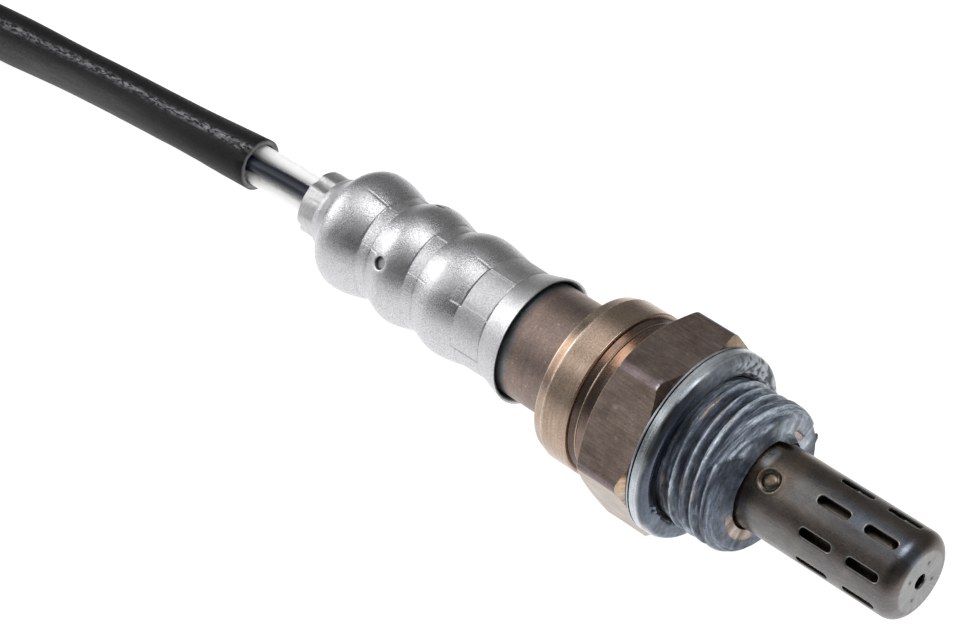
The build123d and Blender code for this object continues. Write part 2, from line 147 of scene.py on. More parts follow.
class Skin:
    """One piece's mesh: vertices, faces, and the colour, roughness and metal of each vertex."""

    def __init__(self, name):
        self.name, self.v, self.c, self.k, self.f, self.n = name, [], [], [], [], 0

    def add(self, co, colour=(0.5, 0.5, 0.5), rough=0.5, metal=0.0):
        shape = co.shape[:-1]
        size = int(np.prod(shape))
        self.v.append(co.reshape(-1, 3))
        self.c.append(np.broadcast_to(np.asarray(colour, float), shape + (3,)).reshape(-1, 3))
        extra = np.stack([np.broadcast_to(np.asarray(rough, float), shape),
                          np.broadcast_to(np.asarray(metal, float), shape)], -1)
        self.k.append(extra.reshape(-1, 2))
        ids = self.n + np.arange(size).reshape(shape)
        self.n += size
        return ids

    def quads(self, ids, wrap_rows=False, wrap_cols=True, skip=None):
        n, m = ids.shape
        r1 = np.roll(ids, -1, 0)
        a, b = ids, np.roll(ids, -1, 1)
        c, d = np.roll(r1, -1, 1), r1
        q = np.stack([a, b, c, d], -1)
        keep = np.ones((n, m), bool)
        if not wrap_rows:
            keep[-1] = False
        if not wrap_cols:
            keep[:, -1] = False
        if skip is not None:
            keep &= ~skip
        self.f.extend(map(tuple, q[keep].tolist()))

    def bridge(self, a, b):
        """Quads from one closed ring of vertices to the next."""
        a, b = np.asarray(a), np.asarray(b)
        q = np.stack([a, np.roll(a, -1), np.roll(b, -1), b], -1)
        self.f.extend(map(tuple, q.tolist()))

    def cap(self, ring, flip=False):
        ring = [int(i) for i in ring]
        self.f.append(tuple(ring[::-1] if flip else ring))

    def build(self, material, body="root", replaces=(), sharp=40.0, radius=None, zones=None, lines=None):
        me = bpy.data.meshes.new(self.name)
        co = np.concatenate(self.v)
        me.from_pydata(co.tolist(), [], self.f)
        me.update()
        if lines is None:
            x, z = co[:, 0] * 1000 - X0, co[:, 2] * 1000 - Z0
            up = z * CT - x * ST
            lines = (x * CT + z * ST, np.arctan2(-co[:, 1] * 1000, up) * (radius or 8.0))
        for label, values in zip(("along", "round"), lines):
            a = me.attributes.new(label, "FLOAT", "POINT")
            a.data.foreach_set("value", np.ascontiguousarray(values, dtype=np.float32))
        col = np.concatenate(self.c)
        col = np.concatenate([col, np.ones((len(col), 1))], 1)
        a = me.attributes.new("vertex_colour", "FLOAT_COLOR", "POINT")
        a.data.foreach_set("color", col.astype(np.float32).ravel())
        k = np.concatenate(self.k).astype(np.float32)
        for i, label in enumerate(("rough", "metal")):
            a = me.attributes.new(label, "FLOAT", "POINT")
            a.data.foreach_set("value", np.ascontiguousarray(k[:, i]))
        for mat in (material if isinstance(material, (list, tuple)) else (material,)):
            me.materials.append(mat)
        if zones is not None:
            me.polygons.foreach_set("material_index", np.array([zones[f[0]] for f in self.f], dtype=np.int32))
        me.shade_smooth()
        me.set_sharp_from_angle(angle=math.radians(sharp))
        ob = bpy.data.objects.new(self.name, me)
        scene.collection.objects.link(ob)
        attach(ob, body)
        if replaces:
            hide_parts(*replaces)
        return ob


def rows(points, gap):
    """A profile's polyline with points added so that none are more than gap apart."""
    out = [points[0]]
    for p, q in zip(points, points[1:]):
        n = max(1, int(math.ceil(math.dist(p, q) / gap)))
        out += [(p[0] + (q[0] - p[0]) * i / n, p[1] + (q[1] - p[1]) * i / n) for i in range(1, n + 1)]
    return out


def edged(points, d):
    """The same polyline with a support point d before and after each corner."""
    out = [points[0]]
    for a, b, c in zip(points, points[1:], points[2:]):
        la, lc = math.dist(a, b), math.dist(b, c)
        ta, tc = min(d / la, 0.4), min(d / lc, 0.4)
        out.append((b[0] + (a[0] - b[0]) * ta, b[1] + (a[1] - b[1]) * ta))
        out.append(b)
        out.append((b[0] + (c[0] - b[0]) * tc, b[1] + (c[1] - b[1]) * tc))
    out.append(points[-1])
    return out


# ---------------------------------------------------------------------------------- materials
class Nodes:
    def __init__(self, name):
        self.mat = bpy.data.materials.new(name)
        self.mat.use_nodes = True
        self.t = self.mat.node_tree
        self.t.nodes.clear()
        self.out = self.t.nodes.new("ShaderNodeOutputMaterial")
        self.bsdf = self.t.nodes.new("ShaderNodeBsdfPrincipled")
        self.t.links.new(self.bsdf.outputs[0], self.out.inputs[0])

    def new(self, kind, **props):
        n = self.t.nodes.new(kind)
        for key, value in props.items():
            setattr(n, key, value)
        return n

    def link(self, a, b):
        self.t.links.new(a, b)

    def put(self, socket, value):
        if hasattr(value, "is_output"):
            self.link(value, socket)
        else:
            socket.default_value = value

    def math(self, op, a, b=None, c=None, clamp=False):
        n = self.new("ShaderNodeMath", operation=op, use_clamp=clamp)
        for i, v in enumerate((a, b, c)):
            if v is not None:
                self.put(n.inputs[i], v)
        return n.outputs[0]

    def mm(self, scale=(1, 1, 1), sensor=True):
        """Object coordinates in millimetres, in the sensor's frame if asked: x is s, z is up."""
        tc = self.new("ShaderNodeTexCoord")
        m = self.new("ShaderNodeMapping", vector_type="TEXTURE")
        if sensor:
            m.inputs["Location"].default_value = (X0 * 0.001, 0, Z0 * 0.001)
            m.inputs["Rotation"].default_value = (0, -TILT, 0)
        m.inputs["Scale"].default_value = (0.001 / scale[0], 0.001 / scale[1], 0.001 / scale[2])
        self.link(tc.outputs["Object"], m.inputs["Vector"])
        return m.outputs[0]

    def noise(self, vector, scale, detail=3.0, rough=0.55, distort=0.0):
        n = self.new("ShaderNodeTexNoise")
        n.inputs["Scale"].default_value = scale
        n.inputs["Detail"].default_value = detail
        n.inputs["Roughness"].default_value = rough
        n.inputs["Distortion"].default_value = distort
        self.link(vector, n.inputs["Vector"])
        return n.outputs["Fac"]

    def spread(self, value, lo, hi, to_lo, to_hi):
        n = self.new("ShaderNodeMapRange", clamp=True)
        self.put(n.inputs[0], value)
        for i, v in enumerate((lo, hi, to_lo, to_hi)):
            n.inputs[i + 1].default_value = v
        return n.outputs[0]

    def tint(self, colour, factor):
        """Colour times a factor that varies over the surface."""
        n = self.new("ShaderNodeVectorMath", operation="SCALE")
        self.put(n.inputs[0], colour)
        self.put(n.inputs["Scale"], factor)
        return n.outputs[0]

    def blend(self, fac, a, b):
        n = self.new("ShaderNodeMix", data_type="RGBA")
        self.put(n.inputs["Factor"], fac)
        self.put(n.inputs["A"], a if hasattr(a, "is_output") else (*a, 1.0))
        self.put(n.inputs["B"], b if hasattr(b, "is_output") else (*b, 1.0))
        return n.outputs["Result"]

    def attr(self, name, out="Fac"):
        n = self.new("ShaderNodeAttribute", attribute_name=name)
        return n.outputs[out]

    def bump(self, height, distance, strength=1.0, normal=None):
        n = self.new("ShaderNodeBump")
        n.inputs["Strength"].default_value = strength
        n.inputs["Distance"].default_value = distance
        self.link(height, n.inputs["Height"])
        if normal is not None:
            self.link(normal, n.inputs["Normal"])
        return n.outputs[0]

    def set(self, **sockets):
        for key, value in sockets.items():
            s = self.bsdf.inputs[key.replace("_", " ")]
            if hasattr(value, "is_output"):
                self.link(value, s)
            elif isinstance(value, (tuple, list, np.ndarray)):
                s.default_value = (*[float(v) for v in value], 1.0)
            else:
                s.default_value = value


def finish_material(name, fine=6.0, fine_amount=0.12, bump=0.00002, stretch=(1, 1, 1), coarse=0.7,
                    coarse_amount=0.08, rough_amount=0.06, spec=0.5, detail=4.0, lines=None, specks=None):
    """A surface whose colour, roughness and metal come from the piece's own colour map (wear, and on some pieces
    painted highlights and shade), with a fine grain and a slow mottle over them. lines = (per mm along, per mm round,
    amount, bump) adds brushed or turned lines, specks = (per mm, share, lighter by) small light marks."""
    n = Nodes(name)
    v = n.mm(stretch)
    f = n.noise(v, fine, detail, 0.6)
    c = n.noise(n.mm(), coarse, 4.0, 0.6)
    k = n.math("MULTIPLY", n.spread(f, 0.25, 0.75, 1 - fine_amount, 1 + fine_amount),
               n.spread(c, 0.3, 0.7, 1 - coarse_amount, 1 + coarse_amount))
    r = n.math("ADD", n.attr("rough"), n.spread(f, 0.25, 0.75, -rough_amount, rough_amount))
    normal = n.bump(f, bump)
    if lines:
        w = n.new("ShaderNodeCombineXYZ")
        n.link(n.math("MULTIPLY", n.attr("along"), lines[0]), w.inputs[0])
        n.link(n.math("MULTIPLY", n.attr("round"), lines[1]), w.inputs[1])
        g = n.noise(w.outputs[0], 1.0, 5.0, 0.62)
        k = n.math("MULTIPLY", k, n.spread(g, 0.28, 0.72, 1 - lines[2], 1 + lines[2]))
        r = n.math("ADD", r, n.spread(g, 0.28, 0.72, 0.05, -0.05))
        normal = n.bump(g, lines[3], normal=normal)
    if specks:
        h = n.noise(n.mm(), specks[0], 2.0, 0.5)
        k = n.math("ADD", k, n.spread(h, specks[1], specks[1] + 0.05, 0.0, specks[2]))
    n.set(Base_Color=n.tint(n.attr("vertex_colour", "Color"), k), Roughness=r, Metallic=n.attr("metal"),
          Specular_IOR_Level=spec, Normal=normal)
    return n.mat


def plain_material(name, colour, rough, metal=0.0, fine=4.0, amount=0.1, bump=0.00002, coarse=0.4,
                   coarse_amount=0.1, spec=0.5, stretch=(1, 1, 1), sensor=True, dark=None, spots=0.0):
    """A surface of one substance, with grain, mottle and, if asked, darker spots."""
    n = Nodes(name)
    v = n.mm(stretch, sensor)
    f = n.noise(v, fine, 4.0, 0.6)
    c = n.noise(n.mm(sensor=sensor), coarse, 4.0, 0.6)
    k = n.math("MULTIPLY", n.spread(f, 0.25, 0.75, 1 - amount, 1 + amount),
               n.spread(c, 0.3, 0.7, 1 - coarse_amount, 1 + coarse_amount))
    base = n.tint(n.blend(n.spread(c, 0.62, 0.75, 0.0, spots), colour, dark or colour), k)
    n.set(Base_Color=base, Roughness=n.spread(f, 0.25, 0.75, rough - 0.06, rough + 0.06),
          Specular_IOR_Level=spec, Metallic=metal, Normal=n.bump(f, bump))
    return n.mat


# ------------------------------------------------------------------------- the lead's sleeve
LEAD = [
    (-0.05555, -0.0002, 0.00631), (-0.06764, -0.00083, 0.00492), (-0.08164, -0.00205, 0.00378), (-0.09714, -0.0046, 0.00326),
    (-0.11364, -0.0082, 0.00325), (-0.12965, -0.0102, 0.0037), (-0.14615, -0.0129, 0.0046), (-0.16595, -0.015, 0.0046),
    (-0.18384, -0.0134, 0.0037), (-0.20025, -0.0075, 0.00325), (-0.21515, -0.0006, 0.00325), (-0.22695, 0.0063, 0.00325),
    (-0.23984, 0.006, 0.00325), (-0.25045, -0.0013, 0.00325), (-0.25575, -0.0131, 0.00325), (-0.25384, -0.0259, 0.00325),
    (-0.24565, -0.0358, 0.00325), (-0.23345, -0.0399, 0.00325), (-0.22084, -0.037, 0.00325), (-0.21125, -0.0287, 0.00325),
    (-0.19815, -0.0239, 0.00325), (-0.18215, -0.0219, 0.0037), (-0.16395, -0.0219, 0.0046), (-0.14705, -0.0203, 0.0047),
    (-0.13165, -0.0218, 0.006), (-0.11934, -0.0243, 0.006),
]


def line_of(points, name, resolution):
    """The points along a smooth spline with these control points."""
    cu = bpy.data.curves.new(name, "CURVE")
    cu.dimensions = "3D"
    cu.resolution_u = resolution
    sp = cu.splines.new("NURBS")
    sp.points.add(len(points) - 1)
    for p, q in zip(sp.points, points):
        p.co = (float(q[0]), float(q[1]), float(q[2]), 1.0)
    sp.order_u = 3
    sp.use_endpoint_u = True
    ob = bpy.data.objects.new(name, cu)
    scene.collection.objects.link(ob)
    bpy.context.view_layer.update()
    me = bpy.data.meshes.new_from_object(ob)
    line = np.array([v.co[:] for v in me.vertices], float)
    bpy.data.objects.remove(ob)
    bpy.data.curves.remove(cu)
    bpy.data.meshes.remove(me)
    return line


def frames_along(line):
    """Tangent, up and side directions at each point of a line, turning as little as they can."""
    d = np.gradient(line, axis=0)
    d /= np.linalg.norm(d, axis=1)[:, None]
    up = np.zeros_like(d)
    u = np.array([0.0, 0.0, 1.0])
    for i in range(len(d)):
        u = u - d[i] * (u @ d[i])
        u /= np.linalg.norm(u)
        up[i] = u
    return d, up, np.cross(up, d)


def tube_rings(line, radius, angles):
    """Rings of points round a line; radius is a number or one value for each ring and angle."""
    d, up, side = frames_along(line)
    a = np.radians(angles)
    radius = np.broadcast_to(radius, (len(line), len(angles)))
    return (line[:, None, :] + radius[..., None] * (np.cos(a)[None, :, None] * up[:, None, :]
            + np.sin(a)[None, :, None] * side[:, None, :]))


lead_line = line_of(LEAD, "lead_line", 16)
dist = np.concatenate([[0], np.cumsum(np.linalg.norm(np.diff(lead_line, axis=0), axis=1))])
lead_len = float(dist[-1])
ang = np.arange(0, 360, 7.5)
S, A = np.meshgrid(dist * 1000, ang, indexing="ij")
wobble = 0.035 * grain(S, A, 9.0, 4.0, 3.25, 11, 3) + 0.02 * grain(S, A, 2.2, 1.6, 3.25, 15, 2)
creases = 0.0
rng = np.random.default_rng(5)
for k in range(46):
    s0, a0 = rng.uniform(1, 370), rng.uniform(0, 360)
    wid, lng, dep = rng.uniform(12, 26), rng.uniform(0.5, 1.2), rng.uniform(0.02, 0.05)
    creases = creases + dep * np.exp(-((S - s0 - 0.03 * turn(A, a0)) / lng) ** 2 - (turn(A, a0) / wid) ** 2)
mouth = np.exp(-S / 1.2)
slack = 0.26 * hump(S, 21, 8, 13)  # the sleeve is slightly narrower where it hangs off the wires
outer_r = (3.25 - slack + wobble - creases) * 0.001 + mouth * 0.00003
# dust together with a painted floor reflection: one side of the sleeve (round angle 92) is blended towards grey near
# the mouth
dust_and_floor_sheen = 0.34 * hump(turn(A, 92.0), 0, 16, 40) * step(S, 4, 34) * (1 - 0.4 * step(S, 60, 120))
# scuff flecks along one line (round angle 24) that also stand in for a painted highlight: the overhead light's
# reflection, painted grey
scuffs_and_highlight_line = (0.5 + 0.5 * grain(S, A, 1.3, 0.8, 3.25, 301, 3, 0.7)) * np.exp(-((turn(A, 24.0) + 4 * grain(S, A * 0, 14.0, 60.0, 3.25, 311, 2)) / 7.0) ** 2)
sleeve = Skin("lead_sleeve_skin")
o_ids = sleeve.add(tube_rings(lead_line, outer_r, ang), (0.0, 0.0, 0.0), dust_and_floor_sheen, scuffs_and_highlight_line)
d0, up0, side0 = (v[0] for v in frames_along(lead_line))


def mouth_ring(depth, radius, rough_edge=0.0):
    rag = rough_edge * grain(np.zeros_like(ang), ang, 1.0, 1.2, 3.0, 71, 3)
    c = lead_line[0] + d0 * depth * 0.001
    a = np.radians(ang)
    return (c[None] + d0[None] * rag[:, None] * 0.001
            + radius * 0.001 * (np.cos(a)[:, None] * up0 + np.sin(a)[:, None] * side0))


inner = [mouth_ring(0.6, 2.5), mouth_ring(0.0, 2.62, 0.12), mouth_ring(-0.12, 2.72, 0.15),
         mouth_ring(-0.14, 3.0, 0.2), mouth_ring(-0.06, 3.2, 0.15)]
deep = [mouth_ring(4.9, 0.02), mouth_ring(4.9, 2.5), mouth_ring(2.5, 2.5)]
# the mouth's cut face is painted light grey: partly the cut edge's own colour, partly a painted highlight on the rim
cut = np.array([0, 0, 0, 0, 0.6, 1.0, 0.9, 0.35])[:, None] + np.zeros(len(ang))
i_ids = sleeve.add(np.stack(deep + inner), (0.0, 0.0, 0.0), cut, 0.0)
order = np.concatenate([i_ids, o_ids])
sleeve.quads(order)
sleeve.cap(i_ids[0], flip=True)
sleeve.cap(o_ids[-1])

n = Nodes("sleeve_black")
v = n.mm(sensor=False)
f = n.noise(v, 3.6, 5.0, 0.7)
w = n.new("ShaderNodeCombineXYZ")
n.link(n.math("MULTIPLY", n.attr("along"), 0.16), w.inputs[0])
n.link(n.math("MULTIPLY", n.attr("round"), 1.5), w.inputs[1])
streak = n.noise(w.outputs[0], 1.0, 5.0, 0.7)
w = n.new("ShaderNodeCombineXYZ")
n.link(n.math("MULTIPLY", n.attr("along"), 1.1), w.inputs[0])
n.link(n.math("MULTIPLY", n.attr("round"), 2.6), w.inputs[1])
flecks = n.noise(w.outputs[0], 1.0, 4.0, 0.7, 0.6)
# the scuff line with its painted highlight, broken into flecks
scuff_and_highlight = n.math("MULTIPLY", n.math("MULTIPLY", n.attr("metal"), 1.5, clamp=True), n.spread(flecks, 0.45, 0.57, 0.0, 1.0))
base = n.blend(scuff_and_highlight, srgb(7, 7, 9), srgb(146, 146, 150))
# the 'rough' attribute blends the black towards grey: dust with a painted floor reflection on one side, and the mouth's
# cut rim with a painted highlight
base = n.blend(n.attr("rough"), base, srgb(124, 124, 126))
n.set(Base_Color=n.tint(base, n.math("MULTIPLY", n.spread(f, 0.3, 0.7, 0.7, 1.35), n.spread(streak, 0.3, 0.7, 0.75, 1.3))),
      Specular_IOR_Level=0.24, Roughness=n.math("ADD", n.spread(f, 0.3, 0.7, 0.40, 0.56), n.math("MULTIPLY", scuff_and_highlight, 0.12)),
      Normal=n.bump(n.math("ADD", f, n.math("MULTIPLY", streak, 0.8)), 0.00009))
sleeve_mat = n.mat
lead_round = turn(A, 24.0) * math.radians(1) * 3.25
mouth_round = np.broadcast_to(lead_round[0], i_ids.shape)
sleeve_lines = (np.concatenate([S.ravel(), np.zeros(i_ids.size)]), np.concatenate([lead_round.ravel(), mouth_round.ravel()]))
sleeve_ob = sleeve.build(sleeve_mat, replaces=("lead_sleeve",), sharp=55, lines=sleeve_lines)

# ------------------------------------------------------------------------------- four wires
mouth_dir = Vector(LEAD[1]) - Vector(LEAD[0])
mouth_dir.normalize()
m_up = (Vector((0, 0, 1)) - mouth_dir * mouth_dir.z).normalized()
m_side = Vector((0, -1, 0))
m_side = (m_side - mouth_dir * mouth_dir.dot(m_side)).normalized()
WIRES = {"wire_white_upper": (-48.0, "wire_white"), "wire_dark_blue": (42.0, "wire_blue"),
         "wire_white_lower": (132.0, "wire_white"), "wire_black": (222.0, "wire_black")}
wire_mats = {
    "wire_white": plain_material("wire_white_ptfe", srgb(249, 247, 246), 0.34, fine=1.5, amount=0.02,
                                 bump=0.00001, coarse=0.3, coarse_amount=0.03, dark=tuple(srgb(232, 228, 224)), spots=0.5),
    "wire_blue": plain_material("wire_navy", srgb(17, 23, 40), 0.3, fine=1.5, amount=0.1, bump=0.00001),
    "wire_black": plain_material("wire_black_pvc", srgb(16, 16, 17), 0.34, fine=1.5, amount=0.1, bump=0.00001),
}
white = wire_mats["wire_white"].node_tree.nodes["Principled BSDF"].inputs
white["Subsurface Weight"].default_value = 0.55
white["Subsurface Radius"].default_value = (1.0, 0.95, 0.92)
white["Subsurface Scale"].default_value = 0.0016
for label, (b, kind) in WIRES.items():
    gb = math.radians(b + 14)
    start, leave = Vector(on_sensor(-33.2, 1.5, b)), Vector(on_sensor(-52.6, 1.5, b))
    off = (m_up * math.cos(gb) + m_side * math.sin(gb)) * 0.00162
    enter = Vector(LEAD[0]) + mouth_dir * 0.0006 + off
    inside = Vector(LEAD[0]) + mouth_dir * 0.00498 + off
    mid = start.lerp(leave, 0.5)
    line = line_of([start, mid, leave, enter, inside], label + "_line", 14)
    w_ang = np.arange(0, 360, 15.0)
    skin = Skin(label + "_skin")
    ids = skin.add(tube_rings(line, 0.00095, w_ang))
    skin.quads(ids)
    skin.cap(ids[0], flip=True)
    skin.cap(ids[-1])
    skin.build(wire_mats[kind], replaces=(label,), sharp=50)

tuple(on_sensor(-49.0, 0.0, 0.0))


# ------------------------------------------------------------------------------- metal shell
def half_sector():
    return [0.0, 1.3, 2.45, 2.7, 2.95, 3.5, 4.6] + list(np.arange(6.0, 30.0, 1.5))


_h = half_sector()
_offsets = sorted(set([-x for x in _h] + _h + [30.0]))
shell_beta = np.array([c + o for c in range(-150, 210, 60) for o in _offsets], float)
corner_off = turn(shell_beta, 30.0) % 60.0
corner_off = np.where(corner_off > 30, corner_off - 60, corner_off)
hex_r = np.where(np.abs(corner_off) < 2.7, 12.47 - 0.1 * (corner_off / 2.7) ** 2,
                 11.0 / np.cos(np.radians(30.0 - np.abs(corner_off))))
m = len(shell_beta)


def const(points):
    return [(np.full(m, p[0]), np.full(m, p[1])) for p in points]


def cone_rows(a, b, count, ends=True):
    """Rows from one ring to another, where s and r may differ round the ring."""
    ts = np.linspace(0, 1, count + 1)
    return [(a[0] + (b[0] - a[0]) * t, a[1] + (b[1] - a[1]) * t) for t in ts]


t30 = math.tan(math.radians(30))
ch_rear = (2.68 + (hex_r - 10.3) * t30, hex_r)
ch_front = (10.0 - np.maximum(hex_r - 11.286, 0.0) * t30, hex_r)
face_out = (np.full(m, 10.0), np.minimum(hex_r - 0.05, 11.286))


def near(a, b, d):
    """The ring d mm from ring a towards ring b."""
    ln = np.hypot(b[0] - a[0], b[1] - a[1])
    t = np.minimum(d / np.maximum(ln, 1e-6), 0.45)
    return (a[0] + (b[0] - a[0]) * t, a[1] + (b[1] - a[1]) * t)


prof = const(edged([(-8.6, 5.65), (-8.6, 6.6), (-4.92, 6.6), (-4.92, 9.79)], 0.08)[:-1])
prof += const(rows(edged([(-4.92, 7.4), (-4.92, 9.79), (-3.6, 10.2), (-0.12, 10.2), (0.0, 10.08), (0.05, 9.72),
                          (0.75, 9.48), (0.82, 9.55), (0.95, 9.55), (1.02, 9.45), (1.6, 9.22), (2.1, 9.08),
                          (2.4, 9.2), (2.6, 9.8), (2.68, 10.3)], 0.06), 0.25))
foot = (np.full(m, 2.68), np.full(m, 10.3))
prof += [near(foot, ch_rear, 0.08), near(ch_rear, foot, 0.09), ch_rear]
flat_a, flat_b = near(ch_rear, ch_front, 0.1), near(ch_front, ch_rear, 0.1)
prof += cone_rows(flat_a, flat_b, 22) + [ch_front]
prof += [near(ch_front, face_out, 0.1), near(face_out, ch_front, 0.1), face_out]
prof += const(rows([(10.0, 10.9), (10.0, 8.6)], 0.5))
hex_rows_end = len(prof)
prof += const(rows([(10.1, 8.6), (12.5, 8.6)], 0.3))
thread_s = np.arange(12.6, 20.12, 0.085)
prof += const([(x, 9.0) for x in thread_s])
prof += const([(20.18, 8.12)])
prof += const(rows([(20.2, 8.04), (20.2, 5.66)], 0.16))
prof += const(rows([(20.14, 5.6), (18.6, 5.6), (18.6, 5.3), (15.0, 5.3), (15.0, 5.65), (-8.6, 5.65)], 3.0)[:-1])
SS = np.array([p[0] for p in prof])
RR = np.array([p[1] for p in prof])
BB = np.broadcast_to(shell_beta, SS.shape)

# ----- the thread with its grey paste, on the rows from the undercut to the nose
is_thread = (SS > 12.45) & (RR > 7.0) & (SS < 20.19)
phase = ((SS - 13.75 - turn(BB, 15.0) / 360.0 * 1.5) / 1.5) % 1.0
ridge = np.abs(phase - 0.5) * 2.0                     # 1 on a crest, 0 in a root
ridge_r = 9.0 - 0.70 * (1 - step(ridge, 0.05, 0.90))
swirl = SS + 0.02 * turn(BB, 0) * 1.5 / 7.2
streak_n = grain(SS - turn(BB, 0) / 360 * 1.5, BB, 0.42, 6.0, 9.0, 31, 3, 0.6)
lump_n = grain(SS, BB, 1.1, 1.6, 9.0, 41, 3, 0.6)
fill = 0.15 + 0.16 * lump_n + 0.16 * streak_n         # how much paste lies in the roots
fill = np.clip(fill, 0.02, 0.75)
thread_r_ = ridge_r + (9.02 - ridge_r) * fill * (1 - 0.25 * ridge) + 0.09 * streak_n * (0.5 + 0.5 * (1 - ridge))
# ends of the thread: it rises out of the undercut and falls away on the nose cone
rise = step(SS, 12.75, 13.35)
under_r = 8.6 + 0.1 * np.clip(lump_n, -0.2, 1) * step(SS, 12.0, 12.6)
cone = 9.0 - 0.62 * step(SS, 18.75, 20.2) - 0.27 * step(SS, 19.95, 20.2)
fade = step(SS, 18.25, 18.85)
r_end = cone - 0.05 + 0.03 * lump_n + 0.02 * streak_n
# the smear of paste dragged over the last turns
smear_edge = np.interp(turn(BB, 0), [-180, -75, -60, 20, 32, 45, 55, 60, 180], [17.0, 17.0, 20.8, 20.8, 20.6, 18.9, 17.4, 16.9, 16.9])
smear = step(smear_edge - SS, -0.12, 0.12) * step(SS, 17.2, 17.9) * (step(turn(BB, 0), -80, -45)) * (1 - step(turn(BB, 0), 52, 57))
smear_r = 9.06 - 0.35 * step(SS, 18.9, 20.2) - 0.3 * step(SS, 20.0, 20.2)
drag = (SS - 18.6) + turn(BB, 20.0) * 0.021
comb = grain(drag, BB, 0.30, 5.5, 9.0, 51, 3, 0.6)
smear_r = smear_r + 0.10 * comb - 0.09 * np.exp(-((drag - 0.92) / 0.07) ** 2) * hump(turn(BB, 24), 0, 7, 5)
r_thr = thread_r_ * (1 - fade) + r_end * fade
r_thr = r_thr * (1 - smear) + smear_r * smear
r_thr = under_r * (1 - rise) + r_thr * rise
# small details: an axial step, a crack, strings of paste
r_thr = r_thr + 0.05 * hump(turn(BB, 53.0), 0, 0.8, 1.6) * hump(SS, 17.1, 1.0, 0.4)
r_thr = r_thr - 0.10 * hump(turn(BB, 83.5 + 1.5 * np.sin(SS * 3.0)), 0, 0.4, 1.6) * hump(SS, 14.4, 1.3, 0.4)
r_thr = r_thr + 0.10 * hump(turn(BB, 78.0), 0, 0.8, 2.2) * hump(SS, 13.3, 0.5, 0.4)
RR = np.where(is_thread, r_thr, RR)

# ----- colours of the shell
brown = srgb(152, 128, 112)
col = np.broadcast_to(brown, SS.shape + (3,)).copy()
rough = np.full(SS.shape, 0.36)
metal = np.full(SS.shape, 1.0)
tb = turn(BB, 0)
# collar: warm tan machined steel, with a lighter line at its rear edge, a painted highlight at beta 19 and painted
# shade at beta 44
is_collar = (SS < 0.02) & (RR > 7.0)
col = mix(col, srgb(176, 154, 137), is_collar)
rough = np.where(is_collar, 0.25, rough)
band = grain(SS, BB, 0.5, 30.0, 10.0, 61, 2)
# painted highlight at beta 19 and painted shade at beta 44
col = col * (1 + is_collar * (0.10 * band + 0.32 * hump(tb, 19, 7, 12) - 0.14 * hump(tb, 44, 9, 9)))[..., None]
is_cham = (SS < -3.62) & (SS > -4.93) & (RR > 7.2)
col = mix(col, srgb(140, 122, 110), is_cham)
# painted highlights on the rear chamfer at beta -32, 86 and 2
col = mix(col, srgb(206, 182, 160), is_cham * np.clip(hump(tb, -32, 16, 12) + 0.6 * hump(tb, 86, 14, 9) + 0.9 * hump(tb, 2, 9, 8), 0, 1) * 0.75)
# painted orange highlight tint where the chamfer's highlight falls, beta 44
col = mix(col, srgb(150, 120, 96), is_cham * hump(tb, 44, 12, 8) * 0.5)
rough = np.where(is_cham, 0.27, rough)
worn = step(grain(SS, BB, 0.3, 0.5, 10.2, 201, 3, 0.7), -0.25, 0.25)
col = mix(col, srgb(226, 214, 200), hump(SS, -3.6, 0.03, 0.06) * (0.25 + 0.6 * worn) * (RR > 9))
col = mix(col, srgb(214, 202, 190), hump(SS, -4.92, 0.04, 0.07) * 0.5 * (RR > 9.2))
# groove, with painted highlights and a painted shadow under the ring's edge
is_groove = (SS > 0.02) & (SS < 2.66) & (RR > 7.0)
# warmer where the groove's highlight falls (beta 17): a painted highlight tint
col = mix(col, mix(srgb(146, 126, 116), srgb(142, 112, 92), hump(tb, 17, 10, 14)) * 0.86, is_groove)
# painted highlight line on the bead at s 0.89
col = mix(col, srgb(196, 180, 162), is_groove * hump(SS, 0.89, 0.05, 0.06) * 0.7)
rough = np.where(is_groove, 0.26, rough)
# painted shadow under the ring's front edge, s 0 to 0.7, weaker near beta 50 and -4
col = mix(col, srgb(84, 70, 64), is_groove * hump(SS, 0.36, 0.36, 0.08) * (0.75 - 0.6 * hump(tb, 50, 18, 14) - 0.55 * hump(tb, -4, 14, 8)))
# hexagon, with a painted glint, painted chamfer highlights and a painted floor reflection on its lower half
is_hex = (SS > 2.66) & (SS < 10.01) & (RR > 9.9)
hex_col = mix(srgb(134, 117, 108), srgb(162, 145, 136), np.clip(0.5 + 0.8 * grain(SS, BB, 2.4, 1.6, 11.5, 67, 4, 0.7), 0, 1))
col = mix(col, hex_col, is_hex)
rough = np.where(is_hex, 0.37, rough)
corner = is_hex * (np.abs(corner_off)[None] < 2.8)
col = mix(col, srgb(122, 109, 112), corner * 0.8)
# painted glint on the hex corner at beta 30.5 near its front, broken up by the wear noise
col = mix(col, srgb(226, 226, 226), is_hex * np.exp(-(turn(BB, 30.5) / 1.6) ** 2) * hump(SS, 9.35, 0.18, 0.25) * worn * 0.9)
rough = np.where(corner > 0, 0.36, rough)
is_fch = is_hex * (SS > 9.0) * (SS > ch_front[0][None] + 0.02)
col = mix(col, srgb(112, 94, 84), is_fch)
# painted highlights on the front chamfer at beta -31, 90 and round the underside
col = mix(col, srgb(206, 180, 152), is_fch * np.clip(hump(tb, -31, 7, 7) + hump(tb, 90, 4, 5) + 0.6 * hump(np.abs(tb), 150, 30, 20), 0, 1) * 0.85)
edge_line = is_hex * hump(SS - ch_rear[0][None], 0.02, 0.02, 0.06)
col = mix(col, srgb(214, 196, 180), np.clip(edge_line, 0, 1) * 0.7)
# painted floor reflection: the hex's lower half is lighter
hex_underside_sheen = step(np.abs(tb), 90, 96)
col = mix(col, srgb(206, 198, 188), is_hex * hex_underside_sheen * 0.45)
